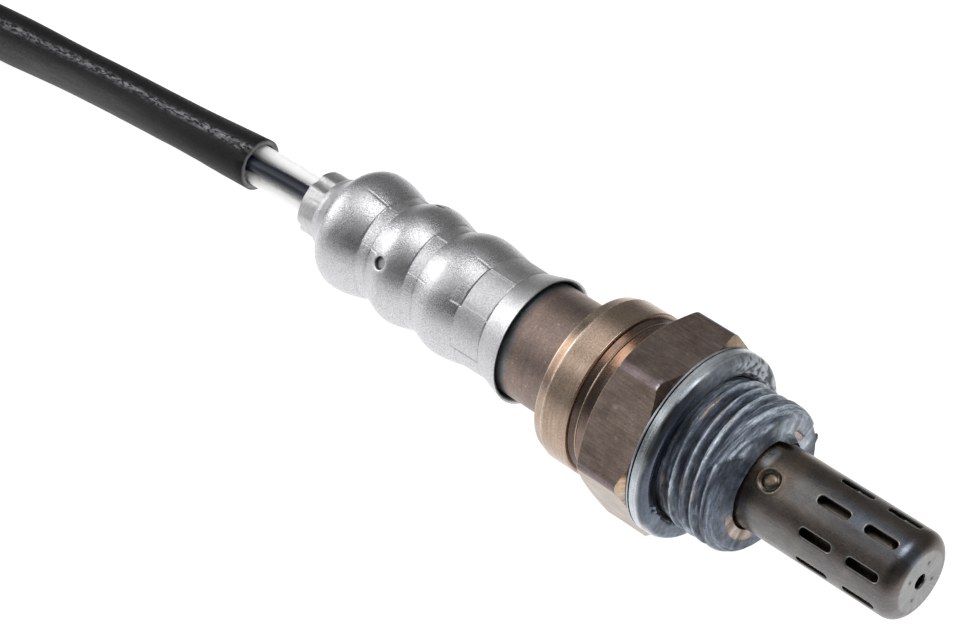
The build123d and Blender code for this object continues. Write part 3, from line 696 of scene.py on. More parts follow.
# nicks and scratches on the flats
for s0, b0, ls, lb, cc in ((8.0, 2.0, 0.12, 0.7, 225), (5.5, 51.0, 0.3, 0.4, 205), (9.15, 27.0, 0.2, 0.9, 228),
                           (6.3, 20.0, 0.16, 0.4, 190), (7.2, 66.0, 0.14, 0.5, 180), (4.4, 74.0, 0.2, 0.3, 180)):
    nick = np.exp(-((SS - s0) / ls) ** 2 - (turn(BB, b0) / lb) ** 2) * is_hex
    col = mix(col, srgb(cc, cc - 8, cc - 16), nick * 0.8)
    RR = RR - 0.03 * nick
# undercut and thread: dark blue-grey paste, lighter where it is thin and streaked, with painted light on one side,
# painted highlights on crests and flanks, and painted shade by the washer and on the nose cone
paste_dark, paste_mid, paste_light = srgb(40, 44, 54), srgb(92, 101, 116), srgb(172, 182, 193)
# painted light: the paste is lighter from about beta -150 to 20
lit = step(-tb, -40, 20) * (1 - step(-tb, 120, 150))
# the crest term (step of ridge) is a painted highlight along the crests; the last term darkens the undercut beside the
# washer, a painted shade
tone = 0.35 + 0.42 * lit + 0.62 * (ridge - 0.45) * (1 - fade) + 0.9 * streak_n + 0.2 * lump_n + 0.22 * step(ridge, 0.78, 0.95) * (1 - fade) - 0.25 * step(-SS, -13.0, -12.5)
tone = tone * (1 - smear) + smear * (0.50 + 0.22 * lit + 1.0 * comb)
# painted shade: the smooth cone past the last turn is dark around beta 48
cone_painted_shade = (1 - smear) * step(SS, 18.5, 18.9) * hump(tb, 48, 20, 12)
tone = tone * (1 - cone_painted_shade) + (0.15 + 0.08 * streak_n) * cone_painted_shade
# painted floor reflection: the same cone is lighter grey around beta 92
cone_painted_floor_light = (1 - smear) * step(SS, 18.7, 19.2) * hump(tb, 92, 22, 12)
tone = tone * (1 - cone_painted_floor_light) + (0.56 + 0.35 * streak_n) * cone_painted_floor_light
# painted highlights: light streaks on the flanks at s 13.2 and 14.82, and a lighter patch at s 16.6, near beta 20 to 25
tone = tone + 0.45 * hump(SS, 13.2, 0.08, 0.1) * hump(tb, 25, 12, 6) + 0.4 * hump(SS, 14.82, 0.07, 0.1) * hump(tb, 25, 12, 6)
tone = tone + 0.3 * hump(SS, 16.6, 0.25, 0.2) * hump(tb, 20, 20, 15)
paste = mix(paste_dark, paste_mid, np.clip(tone * 1.9, 0, 1))
paste = mix(paste, paste_light, np.clip(tone * 1.9 - 1.05, 0, 1))
p_zone = ((SS > 10.05) & (RR > 8.2) & (SS < 20.19) & ~is_hex) | is_thread
p_zone = p_zone & (np.arange(len(SS)) >= hex_rows_end)[:, None]
col = np.where(p_zone[..., None], paste, col)
rough = np.where(p_zone, 0.50 - 0.1 * np.clip(tone, 0, 1), rough)
metal = np.where(p_zone, 0.25, metal)
copper = srgb(178, 148, 122)
bare = np.zeros(SS.shape)
for s0, b0, hs, hb, much in ((13.75, 17.0, 0.07, 8.0, 1.0), (15.28, 18.0, 0.05, 6.0, 0.5), (16.8, 20.0, 0.04, 5.0, 0.45),
                             (15.60, 75.0, 0.06, 4.5, 0.5), (17.15, 75.0, 0.06, 4.0, 0.5), (14.1, 96, 0.06, 5, 0.5), (12.7, 92.0, 0.1, 14.0, 0.45)):
    track = SS - s0 - turn(BB, b0) / 360 * 1.5 * (s0 > 13)
    bare = np.maximum(bare, much * hump(track, 0, hs, 0.10) * hump(turn(BB, b0), 0, hb, 4.0))
bare = bare * p_zone * step(0.35 * lump_n + 0.5, 0.25, 0.5)
col = mix(col, copper, bare * 0.8)
metal = np.maximum(metal, bare)
rough = rough * (1 - bare) + 0.3 * bare
# nose face
is_nose = (np.abs(SS - 20.2) < 0.03) & (RR < 8.06) & (RR > 5.55)
nose_n = grain(RR, BB, 0.8, 2.0, 6.5, 81, 3)
n_tone = 0.42 + 0.5 * nose_n + 0.60 * hump(tb, -38, 26, 20)
n_col = mix(mix(paste_dark, paste_mid, np.clip(n_tone * 1.8, 0, 1)), paste_light, np.clip(n_tone * 1.6 - 0.9, 0, 1))
tan_a = hump(tb, 130, 32, 5) * hump(RR, 6.2, 0.55, 0.12)
tan_b = hump(tb, -48, 12, 3) * hump(RR, 6.3, 0.22, 0.08)
tan_c = hump(tb, 14, 6, 3) * hump(RR, 5.72, 0.1, 0.06)
n_col = mix(n_col, srgb(160, 146, 136), np.clip(tan_a + tan_b, 0, 1))
n_col = mix(n_col, srgb(120, 88, 70), tan_c)
slit = hump(tb, -50, 9, 2) * hump(RR, 6.66, 0.05, 0.06)
n_col = mix(n_col, srgb(30, 32, 38), slit)
# a tongue of paste that hangs from the nose over the root of the shield
tongue = hump(tb + 6 * (RR - 6.0), -27, 6, 7) * step(-RR, -6.35, -5.75)
n_col = mix(n_col, srgb(74, 80, 91), np.clip(tongue * 1.4, 0, 1) * (1 - 0.6 * np.clip(tan_b, 0, 1)))
col = np.where(is_nose[..., None], n_col, col)
metal = np.where(is_nose, 0.3 + 0.6 * np.clip(tan_a + tan_b, 0, 1), metal)
rough = np.where(is_nose, 0.45, rough)
SS = SS + np.where(is_nose, 0.05 * nose_n - 0.12 * slit - 0.10 * np.clip(tan_a + tan_b, 0, 1) + 0.05 + 1.15 * tongue, 0)
# a torn spike of paste at the far edge of the nose
spike = np.exp(-(turn(BB, -79.0) / 2.2) ** 2) * hump(SS, 20.05, 0.25, 0.15) * (RR > 7.8)
RR = RR + 0.5 * spike
col = mix(col, srgb(36, 38, 44), np.clip(spike, 0, 1))

zone_of = np.zeros(len(SS), int)
zone_of[(SS[:, 0] < 2.66) & (np.arange(len(SS)) < hex_rows_end)] = 1
zone_of[np.arange(len(SS)) >= hex_rows_end] = 2
shell = Skin("metal_shell_skin")
ids = shell.add(on_sensor(SS, RR, BB), col, np.clip(rough, 0.12, 0.9), np.clip(metal, 0, 1))
shell.quads(ids, wrap_rows=True)
shell_mats = [
    finish_material("hex_brushed_steel", fine=4.6, fine_amount=0.22, bump=0.000012, coarse=0.8, coarse_amount=0.10,
                    lines=(0.35, 3.2, 0.30, 0.000016), specks=(3.0, 0.70, 0.5)),
    finish_material("turned_tinted_steel", fine=4.8, fine_amount=0.24, bump=0.000008, coarse=0.7, coarse_amount=0.06,
                    lines=(3.6, 0.3, 0.16, 0.000010), specks=(3.4, 0.69, 0.5)),
    finish_material("thread_paste", fine=5.2, fine_amount=0.40, bump=0.00004, coarse=1.2, coarse_amount=0.12,
                    lines=(4.6, 0.6, 0.75, 0.00013)),
]
shell.build(shell_mats, replaces=("metal_shell",), sharp=46, radius=9.6, zones=np.repeat(zone_of, m))

# ------------------------------------------------------------------------------- seal washer
wb = np.arange(-180, 180, 1.5)
arc = [(11.4 + 1.1 * math.sin(a), 10.3 + 1.1 * math.cos(a)) for a in np.radians(np.arange(0, 91, 9))]
loop = edged([(10.02, 8.9), (10.02, 11.3), (10.12, 11.4), (10.34, 11.4), (10.40, 10.9), (10.48, 10.9), (10.54, 11.4), (11.4, 11.4)], 0.04)
loop = rows(loop, 0.3) + arc[1:] + rows(edged([(12.5, 10.3), (12.5, 9.45), (12.3, 9.1), (11.9, 8.85), (10.02, 8.9)], 0.06), 0.14)[1:-1]
LS = np.array([p[0] for p in loop])[:, None] + np.zeros(len(wb))[None]
LR = np.array([p[1] for p in loop])[:, None] + np.zeros(len(wb))[None]
LB = np.broadcast_to(wb, LS.shape)
wt = turn(LB, 0)
speck = grain(LR * 1.0 + LS, LB, 0.5, 0.5, 10.5, 91, 3, 0.7)
pitted = step(-wt, 8, 30) * (1 - step(-wt, 95, 120)) * step(LS, 11.5, 11.9)
front = step(LS, 11.75, 12.3)
# polished from beta 22 to 110 (lower roughness), where a painted dark reflection also lies
polished_and_shaded = hump(wt, 66, 44, 16)
w_col = np.broadcast_to(srgb(192, 198, 203), LS.shape + (3,)).copy()
w_col = mix(w_col, srgb(150, 158, 168), hump(LS, 10.2, 0.2, 0.05) * 0.5)
w_col = mix(w_col, srgb(112, 121, 136), front * (0.45 + 0.5 * speck) * (1 - polished_and_shaded))
# painted dark reflection on the rolled front corner, beta 22 to 110
w_col = mix(w_col, srgb(74, 80, 93), step(LS - 0.2 * hump(wt, 62, 9, 9), 11.38, 11.85) * polished_and_shaded * 0.92)
w_col = mix(w_col, srgb(30, 33, 40), pitted * step(speck, 0.0, 0.25) * 0.85)
w_col = mix(w_col, srgb(34, 38, 46), hump(LS, 10.44, 0.05, 0.03) * (LR < 11.36))
# painted highlight: the washer's top (beta -4) is lighter
w_col = mix(w_col, srgb(214, 220, 226), hump(wt, -4, 16, 14) * (1 - step(LS, 11.6, 12.0)) * 0.8)
# painted shade: darker band round beta 32
w_col = w_col * (1 - 0.26 * hump(wt, 32, 12, 10) * (1 - step(LS, 11.8, 12.2)))[..., None]
w_col = mix(w_col, srgb(46, 50, 58), hump(LS, 11.62, 0.03, 0.05) * (LR > 10.5) * (0.3 + 0.25 * hump(wt, -60, 40, 20)))
smudge = step(grain(LS, LB, 2.0, 4.0, 11.0, 95, 3), 0.1, 0.5) * (0.25 + 0.75 * step(np.abs(wt - 66), 30, 70))
w_col = mix(w_col, srgb(84, 93, 108), smudge * 0.55 * step(LS, 10.6, 11.2))
low_p = hump(wt, 132, 26, 10) * step(LS, 11.9, 12.4)
w_col = mix(w_col, srgb(90, 99, 112), low_p * 0.8)
LR = LR + 0.03 * speck * pitted + 0.02 * grain(LS, LB, 3.0, 5.0, 11.0, 97, 2)
LS = LS - 0.10 * pitted * step(speck, 0.12, 0.35) + 0.02 * speck * front + 0.12 * low_p * (0.6 + speck)
washer = Skin("seal_washer_skin")
ids = washer.add(on_sensor(LS, LR, LB), w_col, np.clip(0.25 - 0.10 * polished_and_shaded + 0.14 * hump(wt, -4, 12, 10) + 0.2 * front * (1 - polished_and_shaded) + 0.2 * smudge + 0.05 * speck, 0.1, 0.8),
                 1.0 - 0.5 * front * np.clip(pitted + smudge, 0, 1))
washer.quads(ids, wrap_rows=True)
washer.build(finish_material("washer_plated", fine=5.2, fine_amount=0.18, bump=0.000008, coarse=1.2, lines=(4.0, 0.25, 0.26, 0.000012)),
             replaces=("seal_washer",), sharp=46, radius=11.4)

# ------------------------------------------------------------------------------ lower casing
cb = np.arange(-180, 180, 2.0)
loop = rows(edged([(-4.94, 6.63), (-4.94, 7.06), (-5.02, 7.13), (-14.0, 7.13), (-15.8, 6.5), (-20.0, 6.5), (-21.0, 6.34), (-29.6, 6.34),
                   (-29.6, 5.84), (-20.8, 5.84), (-19.8, 6.0), (-16.0, 6.0), (-13.9, 6.63), (-4.94, 6.63)], 0.06), 0.45)[:-1][::-1]
CS = np.array([p[0] for p in loop])[:, None] + np.zeros(len(cb))[None]
CR = np.array([p[1] for p in loop])[:, None] + np.zeros(len(cb))[None]
CB = np.broadcast_to(cb, CS.shape)
c_t = turn(CB, 0)
cool = step(-CS, 12.25 - 0.5 * hump(c_t, 72, 18, 10), 12.7 - 0.4 * hump(c_t, 72, 18, 10))
c_col = mix(srgb(136, 121, 113), srgb(154, 135, 125), np.clip(0.5 + 0.7 * grain(CS, CB, 4, 4, 7.1, 101, 4, 0.7), 0, 1))
c_col = mix(c_col, srgb(118, 104, 102), hump(CS, -8.5, 1.5, 2.0) * 0.2)
# painted highlight: lighter band at beta -34
c_col = mix(c_col, srgb(196, 180, 168), hump(c_t, -34, 14, 16) * 0.7)
c_col = mix(c_col, srgb(128, 136, 140), cool * 0.85)
casing = Skin("lower_casing_skin")
ids = casing.add(on_sensor(CS, CR, CB), c_col, 0.42, 1.0)
casing.quads(ids, wrap_rows=True)
casing.build(finish_material("casing_heat_tint", fine=4.8, fine_amount=0.30, bump=0.000014, coarse=0.8,
                             lines=(2.6, 0.5, 0.12, 0.000010), specks=(3.0, 0.67, 0.7)),
             replaces=("lower_casing",), sharp=46, radius=7.1)

# ---------------------------------------------------------------------- cover shell (boot)
KNOTS = [(-46.2, 4.45, 0.5, 0.5), (-45.3, 4.80, 0.45, 0.62), (-43.7, 6.05, 0.75, 1.5), (-43.1, 6.85, 1.25, 1.05), (-42.4, 7.36, 0.5, 0.5),
         (-41.1, 7.66, 0.0, 0.0), (-36.72, 6.72, -0.34, 0.0), (-35.05, 6.70, 0.0, 0.42), (-32.2, 7.58, 0.0, 0.0),
         (-29.02, 6.84, -0.33, 0.0), (-27.28, 6.83, 0.0, 0.42), (-24.3, 7.65, 0.0, 0.0), (-20.4, 7.07, -0.2, 0.0),
         (-16.35, 7.02, 0.0, 0.22), (-14.1, 7.66, 0.32, 0.3), (-13.1, 7.90, 0.1, 0.1)]
breaks = [-45.3, -43.7, -36.72, -35.05, -29.02, -27.28, -20.4, -16.35]
bs = np.arange(-46.2, -13.09, 0.205)
for x in breaks:
    edge = x in breaks[2:]
    wide = 0.24 if edge else 0.07
    bs = bs[np.abs(bs - x) > wide + 0.03]
    bs = np.concatenate([bs, np.arange(x - wide, x + wide + 0.001, 0.06 if edge else 0.07)])
bs = np.sort(np.concatenate([bs[bs < -13.2], [-13.24, -13.14]]))
_j = [0.0, 0.45, 0.9, 1.5, 2.3] + list(np.arange(3.9, 22.0, 1.7))
_j = sorted(set(_j + [45.0 - x for x in _j[1:]] + [22.5]))
bb = np.sort(turn(np.array([9.0 + 45.0 * k + x for k in range(8) for x in _j]), 0))
WALL = 0.42


def jaw_of(beta):
    """Which of the eight crimp jaws, and how far from its edge, in degrees."""
    x = (turn(beta, 9.0) % 360.0) / 45.0
    return np.floor(x).astype(int) % 8, np.minimum(x % 1.0, 1 - x % 1.0) * 45.0


def boot_r(s, beta):
    j, from_edge = jaw_of(beta)
    rj = np.random.default_rng(7)
    depth = rj.uniform(0.015, 0.07, (3, 8))
    shift = rj.uniform(-0.14, 0.14, (3, 8))
    shift[2, 7], shift[2, 0], shift[2, 1] = 0.12, 0.0, -0.2
    depth[2, 7], depth[2, 0], depth[2, 1] = 0.035, 0.075, 0.03
    r = hermite(KNOTS, s)
    for k, (a, b) in enumerate(((-36.72, -35.05), (-29.02, -27.28), (-20.4, -16.35))):
        sh, dp = shift[k][j], depth[k][j]
        inside = step(s, a + sh - 0.05, a + sh + 0.06) * (1 - step(s, b - 0.05, b + 0.06))
        r = r - dp * inside
        for c, sgn in ((a + sh, -1), (b, 1)):
            r = r - (0.060 if k == 2 else 0.028) * np.exp(-((s - c + sgn * 0.03) / 0.07) ** 2) * step(from_edge, 0, 1)
        lip = np.exp(-((from_edge - 0.9) / 0.6) ** 2) * step(s, a - 0.9 * (k < 2), a + 0.1) * (1 - step(s, b - 0.1, b + 0.12))
        r = r + (0.022 if k == 2 else 0.012) * lip
        r = r - (0.075 if k == 2 else 0.028) * np.exp(-(from_edge / 0.45) ** 2) * inside
        away = np.abs(s - (a + sh)) / 0.13
        r = r + 0.014 * np.exp(-away ** 2) * step(from_edge, 0, 2)
    # pinched slits where two jaws met on the flanks of the bulges
    for s0, half, b0 in ((-38.2, 1.6, 9.0), (-28.2, 0.8, 9.0), (-21.3, 0.7, 9.0), (-26.6, 0.6, 54.0), (-34.3, 0.7, 54.0), (-21.2, 0.6, 54.0)):
        on = hump(s, s0, half, 0.25)
        r = r + (0.016 * np.exp(-(turn(beta, b0 - 1.6) / 0.9) ** 2) - 0.07 * np.exp(-(turn(beta, b0) / 0.6) ** 2)) * on
    r = r - 0.05 * np.exp(-((s + 44.05) / 0.10) ** 2) * hump(turn(beta, 48), 0, 22, 12)
    r = r + 0.012 * grain(s, beta, 0.55, 0.55, 7.3, 111, 2) + 0.03 * grain(s, beta, 5.0, 6.0, 7.3, 121, 2)
    return r


BS, BBB = np.meshgrid(bs, bb, indexing="ij")
out_r = boot_r(BS, BBB)
slope = np.gradient(hermite(KNOTS, bs), bs)
slope = np.convolve(np.pad(slope, 2, "edge"), np.ones(5) / 5, "valid")
nrm = np.sqrt(1 + slope ** 2)
in_s = BS + (WALL * slope / nrm)[:, None]
in_r = hermite(KNOTS, BS) - (WALL / nrm)[:, None] - 0.03
lip_s = np.array([-13.02, -12.98, -13.0, -13.08, -13.2])[:, None] + np.zeros(len(bb))
lip_r = np.array([7.93, 7.88, 7.76, 7.64, 7.54])[:, None] + np.zeros(len(bb))
rear_s = np.array([-46.3, -46.34, -46.28])[:, None] + np.zeros(len(bb))
rear_r = np.array([4.12, 4.2, 4.38])[:, None] + np.zeros(len(bb))
VENT_R, VENT_S = 0.78, -32.7
inner_keep = (bs < -13.35) & ((np.abs(bs - VENT_S) < 1.6) | (np.arange(len(bs)) % 5 == 0))
S_all = np.concatenate([rear_s, BS, lip_s, in_s[inner_keep][::-1]])
R_all = np.concatenate([rear_r, out_r, lip_r, in_r[inner_keep][::-1]])
B_all = np.broadcast_to(bb, S_all.shape)
ends = np.zeros(S_all.shape)
steel = np.broadcast_to(srgb(199, 199, 201), S_all.shape + (3,)).copy()
mott = grain(S_all, B_all, 2.5, 2.5, 7.3, 131, 3)
steel = steel * (1 + 0.05 * mott)[..., None]
bt = turn(B_all, 0)
in_band = hump(S_all, -18.35, 1.95, 0.1)
jn, je = jaw_of(B_all)
seam = np.exp(-((je - 0.9) / 0.6) ** 2) * hump(S_all, -18.35, 2.1, 0.15) * (np.arange(8)[jn] != 3)
lipline = hump(S_all, -13.05, 0.08, 0.1) * (R_all > 7.5)
rough_b = 0.275 + 0.05 * mott + 0.08 * in_band - 0.05 * lipline + 0.08 * step(S_all, -16.3, -15.9) + 0.10 * step(-S_all, 43.4, 44.0)
n_out = len(rear_s) + len(bs)
inside_b = (np.arange(len(S_all)) >= n_out + len(lip_s))[:, None] + np.zeros(len(bb))
steel = mix(steel, srgb(120, 120, 122), inside_b)
boot = Skin("boot_shell_skin")
ids = boot.add(on_sensor(S_all, R_all, B_all), steel, rough_b, 1.0)
skip = np.zeros(ids.shape, bool)
inner_rows = np.where(inner_keep)[0]
row_in = {int(i): n_out + len(lip_s) + (len(inner_rows) - 1 - int(k)) for k, i in enumerate(inner_rows)}


def perimeter(i0, i1, j0, j1):
    """Grid places round a block, in the order its own faces go round."""
    p = [(i0, j) for j in range(j0, j1)] + [(i, j1) for i in range(i0, i1)]
    return p + [(i1, j) for j in range(j1, j0, -1)] + [(i, j0) for i in range(i1, i0, -1)]


for k in range(4):
    vb = turn(60.3 + 90 * k, 0)
    i0 = int(np.searchsorted(bs, VENT_S - 1.25))
    i1 = int(np.searchsorted(bs, VENT_S + 1.25))
    j0 = int(np.searchsorted(bb, vb - 10.0))
    j1 = int(np.searchsorted(bb, vb + 10.0))
    skip[3 + i0:3 + i1, j0:j1] = True
    a, b = row_in[i1], row_in[i0]
    skip[a:b, j0:j1] = True
    per = perimeter(i0, i1, j0, j1)
    o_ring = [int(ids[3 + i, j]) for i, j in per]
    n_ring = [int(ids[row_in[i], j]) for i, j in per]
    ps = np.array([bs[i] for i, j in per]) - VENT_S
    pb = (np.array([bb[j] for i, j in per]) - vb) * math.radians(1) * 7.55
    ln = np.hypot(ps, pb)
    cs, cbn = ps / ln, pb / ln
    last = o_ring
    # the vent's wall is painted darker with depth (150, 110, 84), a painted shade in the hole; its floor is a light
    # membrane
    for rad, drop, cc, ro, me_ in ((1.04, 0.0, 205, 0.36, 1), (0.92, 0.03, 214, 0.34, 1), (0.84, 0.08, 205, 0.36, 1), (0.79, 0.17, 150, 0.4, 1),
                                   (0.78, 0.44, 110, 0.5, 1), (0.75, 0.55, 84, 0.6, 0.5), (0.66, 0.58, 186, 0.75, 0), (0.35, 0.57, 196, 0.75, 0)):
        rs, rb = VENT_S + cs * rad, vb + np.degrees(cbn * rad / 7.55)
        ring = boot.add(on_sensor(rs, hermite(KNOTS, rs) - drop, rb), srgb(cc, cc, cc + 2), ro, me_)
        boot.bridge(last, ring)
        last = ring
    boot.cap(last)
    last = n_ring
    for rad, drop in ((0.97, 0.46), (0.95, 0.52), (0.95, 0.78), (0.9, 0.83), (0.4, 0.84)):
        rs, rb = VENT_S + cs * rad, vb + np.degrees(cbn * rad / 7.55)
        ring = boot.add(on_sensor(rs, hermite(KNOTS, rs) - drop, rb), srgb(120, 120, 122), 0.4, 1.0)
        boot.f.extend(tuple(q) for q in np.stack([ring, np.roll(ring, -1), np.roll(last, -1), last], -1).tolist())
        last = ring
    boot.cap(last, flip=True)
boot.quads(ids, wrap_rows=True, skip=skip)
n = Nodes("blasted_steel")
v = n.mm()
f = n.noise(v, 5.6, 2.5, 0.6)
g = n.noise(v, 11.0, 3.0, 0.6)
k = n.math("MULTIPLY", n.spread(f, 0.3, 0.7, 0.76, 1.22), n.spread(g, 0.3, 0.7, 0.78, 1.2))
n.set(Base_Color=n.tint(n.attr("vertex_colour", "Color"), k), Metallic=1.0,
      Roughness=n.math("ADD", n.attr("rough"), n.spread(g, 0.25, 0.75, -0.04, 0.04)),
      Normal=n.bump(n.math("ADD", f, n.math("MULTIPLY", g, 0.5)), 0.000040))
blasted = n.mat
boot.build(blasted, replaces=("boot_shell",), sharp=40, radius=7.4)

# ------------------------------------------------------------------------------ wire ferrule
fb = np.arange(-180, 180, 2.0)
fs_out = np.array([-49.0, -48.98, -48.9, -48.75] + list(np.arange(-48.5, -45.2, 0.3)) + [-45.2])


def ferrule_r(s, beta):
    t = turn(beta, 0)
    r = 4.12 - 0.12 * hump(t, 56, 16, 14) - 0.1 * hump(t, -75, 20, 14) - 0.1 * hump(t, 150, 18, 14)
    r = r - 0.32 * step(t, -1.5, 10) * (1 - step(t, 14, 30))
    r = r - 0.05 * np.exp(-(turn(beta, 47 - 1.2 * (s + 47)) / 2.0) ** 2) * hump(s, -46.6, 0.9, 0.5)
    r = r + 0.03 * grain(s, beta, 1.2, 1.6, 4.1, 141, 2)
    return r - 0.14 * step(-s, 48.9, 49.0)


def ferrule_end(beta):
    t = turn(beta, 0)
    cut = 0.0
    for c in (104, 176, 248, 320):
        cut = cut + 0.34 * hump(turn(beta, c), 0, 5, 2.5)
    return cut + 0.12 * step(t, 96, 100) * (1 - step(t, 150, 154))


FS, FB = np.meshgrid(fs_out, fb, indexing="ij")
push = ferrule_end(FB) * (1 - step(FS, -49.0, -47.6))
FR = ferrule_r(FS, FB)
f_in = 0.45
S_f = np.concatenate([FS + push, (FS + push)[::-1][:1] + 0.0, (FS + push)[::-1]])
R_f = np.concatenate([FR, FR[::-1][:1] - 0.2, FR[::-1] - f_in])
B_f = np.broadcast_to(fb, S_f.shape)
ferrule = Skin("wire_ferrule_skin")
f_m = grain(S_f, B_f, 1.6, 1.6, 4.1, 151, 3)
ids = ferrule.add(on_sensor(S_f, R_f, B_f), srgb(200, 200, 200) * (1 + 0.12 * f_m)[..., None], 0.40 + 0.06 * f_m, 1.0)
ferrule.quads(ids, wrap_rows=True)
ferrule.build(finish_material("ferrule_steel", fine=4.4, fine_amount=0.22, bump=0.00002, coarse=1.0),
              replaces=("wire_ferrule",), sharp=48)

# ------------------------------------------------------------------------------ outer shield
sb = np.arange(-180, 180, 1.5) + 0.3                     # 22.8 is one of these
ss = list(np.arange(15.0, 21.0, 0.35)) + list(np.arange(21.0, 24.5, 0.13)) + list(np.arange(24.5, 39.35, 0.24))
ss = np.array(ss)
arc_o = [(39.35 + 1.7 * math.sin(a), 3.55 + 1.7 * math.cos(a)) for a in np.radians(np.arange(0, 91, 9))]
arc_i = [(39.35 + 1.3 * math.sin(a), 3.55 + 1.3 * math.cos(a)) for a in np.radians(np.arange(90, -1, -15))]
tip_o = rows([(41.05, 3.55), (41.05, 1.06)], 0.12)[1:] + [(41.03, 0.97), (40.95, 0.89), (40.85, 0.87)]
tip_i = [(40.7, 0.87), (40.65, 0.95)] + rows([(40.65, 1.2), (40.65, 3.55)], 0.6)
base_o = [(14.6, 5.3), (14.6, 5.6), (15.0, 5.6), (15.0, 5.3)]
o_prof = base_o + [(x, 5.25) for x in ss] + arc_o + tip_o
n_base, n_ss = len(base_o), len(ss)
i_prof = tip_i + arc_i[1:] + [(x, 4.85) for x in ss[::-1]] + [(14.6, 4.85)]
all_p = o_prof + i_prof
HS = np.array([p[0] for p in all_p])[:, None] + np.zeros(len(sb))
HR = np.array([p[1] for p in all_p])[:, None] + np.zeros(len(sb))
HB = np.broadcast_to(sb, HS.shape)
ht = turn(HB, 0)
outer_rows = (np.arange(len(all_p)) < len(o_prof))[:, None]
# stake mark near the base
dist_m = np.hypot(HS - 22.75, turn(HB, 36.5) * math.radians(1) * 5.25)
moat = np.exp(-((dist_m - 1.02) / 0.20) ** 2)
HR = HR - outer_rows * (0.20 * moat + 0.05 * np.exp(-(dist_m / 1.1) ** 4)) * (HR > 5)
HR = HR + outer_rows * (0.04 * np.exp(-((dist_m - 1.42) / 0.16) ** 2) + 0.09 * np.exp(-(dist_m / 0.62) ** 2)) * (HR > 5)
# weld dots on the end face
dots = 0.0
for b0 in (-28.0, -113.0, 61.0, 151.0):
    dx = HR * np.cos(np.radians(ht)) - 2.25 * math.cos(math.radians(b0))
    dy = HR * np.sin(np.radians(ht)) - 2.25 * math.sin(math.radians(b0))
    dots = dots + np.exp(-((dx * dx + dy * dy) / 0.24 ** 2))
on_tip = outer_rows * (HS > 40.9) * (HR < 3.6)
HS = HS - 0.10 * dots * on_tip + 0.015 * on_tip * grain(HR, HB, 1.0, 1.0, 3.0, 163, 2)
shade = grain(HS, HB, 2.2, 2.2, 5.2, 161, 3)
# lit and shaded copies of the shield's colour: painted highlight band at beta 22 and painted floor light from beta 66
# to 150, painted shade elsewhere
shield_painted_shade = mix(srgb(98, 90, 85), srgb(116, 109, 104), np.clip(0.5 + 0.5 * shade, 0, 1))
shield_painted_light = mix(srgb(106, 104, 104), srgb(124, 121, 120), np.clip(0.5 + 0.5 * shade, 0, 1))
h_col = mix(shield_painted_shade, shield_painted_light, np.clip(hump(ht, 22, 14, 14) + step(ht, 66, 84) * (1 - step(ht, 130, 170)), 0, 1))
# painted shade band at beta 41
h_col = mix(h_col, srgb(80, 78, 78), hump(ht, 41, 7, 9) * step(HS, 27, 33) * 0.7)
# painted bluish reflection band at beta 19
h_col = mix(h_col, srgb(104, 114, 132), hump(ht, 19, 7, 9) * step(HS, 28, 34) * 0.55)
h_col = mix(h_col, srgb(150, 132, 108), hump(HS, 20.7, 0.5, 0.9) * hump(ht, 0, 40, 20) * 0.6)
h_col = mix(h_col, srgb(126, 108, 90), hump(HS, 22.8, 1.4, 2.0) * hump(ht, 2, 34, 18) * 0.5)
# painted highlight: light patch at the shield's root, beta 12
h_col = mix(h_col, srgb(206, 210, 210), hump(HS, 20.9, 0.4, 0.6) * hump(ht, 12, 8, 10) * 0.85)
h_col = mix(h_col, srgb(130, 116, 94), np.exp(-(dist_m / 0.7) ** 2) * outer_rows * 0.8)
# painted highlight on one side of the stake mark's outer ridge
h_col = mix(h_col, srgb(142, 136, 128), np.exp(-((dist_m - 1.4) / 0.14) ** 2) * outer_rows * 0.5 * step(HS, 22.4, 23.6) * step(ht, 30, 44))
# painted shade in the stake mark's moat
h_col = mix(h_col, srgb(60, 54, 50), moat * outer_rows * (HR > 4.8) * 0.7)
h_col = mix(h_col, srgb(150, 151, 151), on_tip * 0.85)
h_col = mix(h_col, srgb(70, 66, 62), np.clip(dots, 0, 1) * on_tip * 0.85)
h_col = mix(h_col, srgb(70, 66, 64), (1 - outer_rows) * np.ones(HS.shape) * 0.8)
shield = Skin("outer_shield_skin")
ids = shield.add(on_sensor(HS, HR, HB), h_col, np.clip(0.31 + 0.07 * shade + 0.1 * on_tip, 0.1, 0.9), 1.0)
skip = np.zeros(ids.shape, bool)
first_in = len(o_prof) + len(tip_i) + len(arc_i) - 1


def rounded(ps, pb, half_s, half_b, corner, out):
    """Where block points land on a rounded slot outline grown by out, in mm."""
    qs, qb = np.clip(ps, -(half_s - corner), half_s - corner), np.clip(pb, -(half_b - corner), half_b - corner)
    ds, db = ps - qs, pb - qb
    ln = np.maximum(np.hypot(ds, db), 1e-9)
    return qs + ds / ln * (corner + out), qb + db / ln * (corner + out)


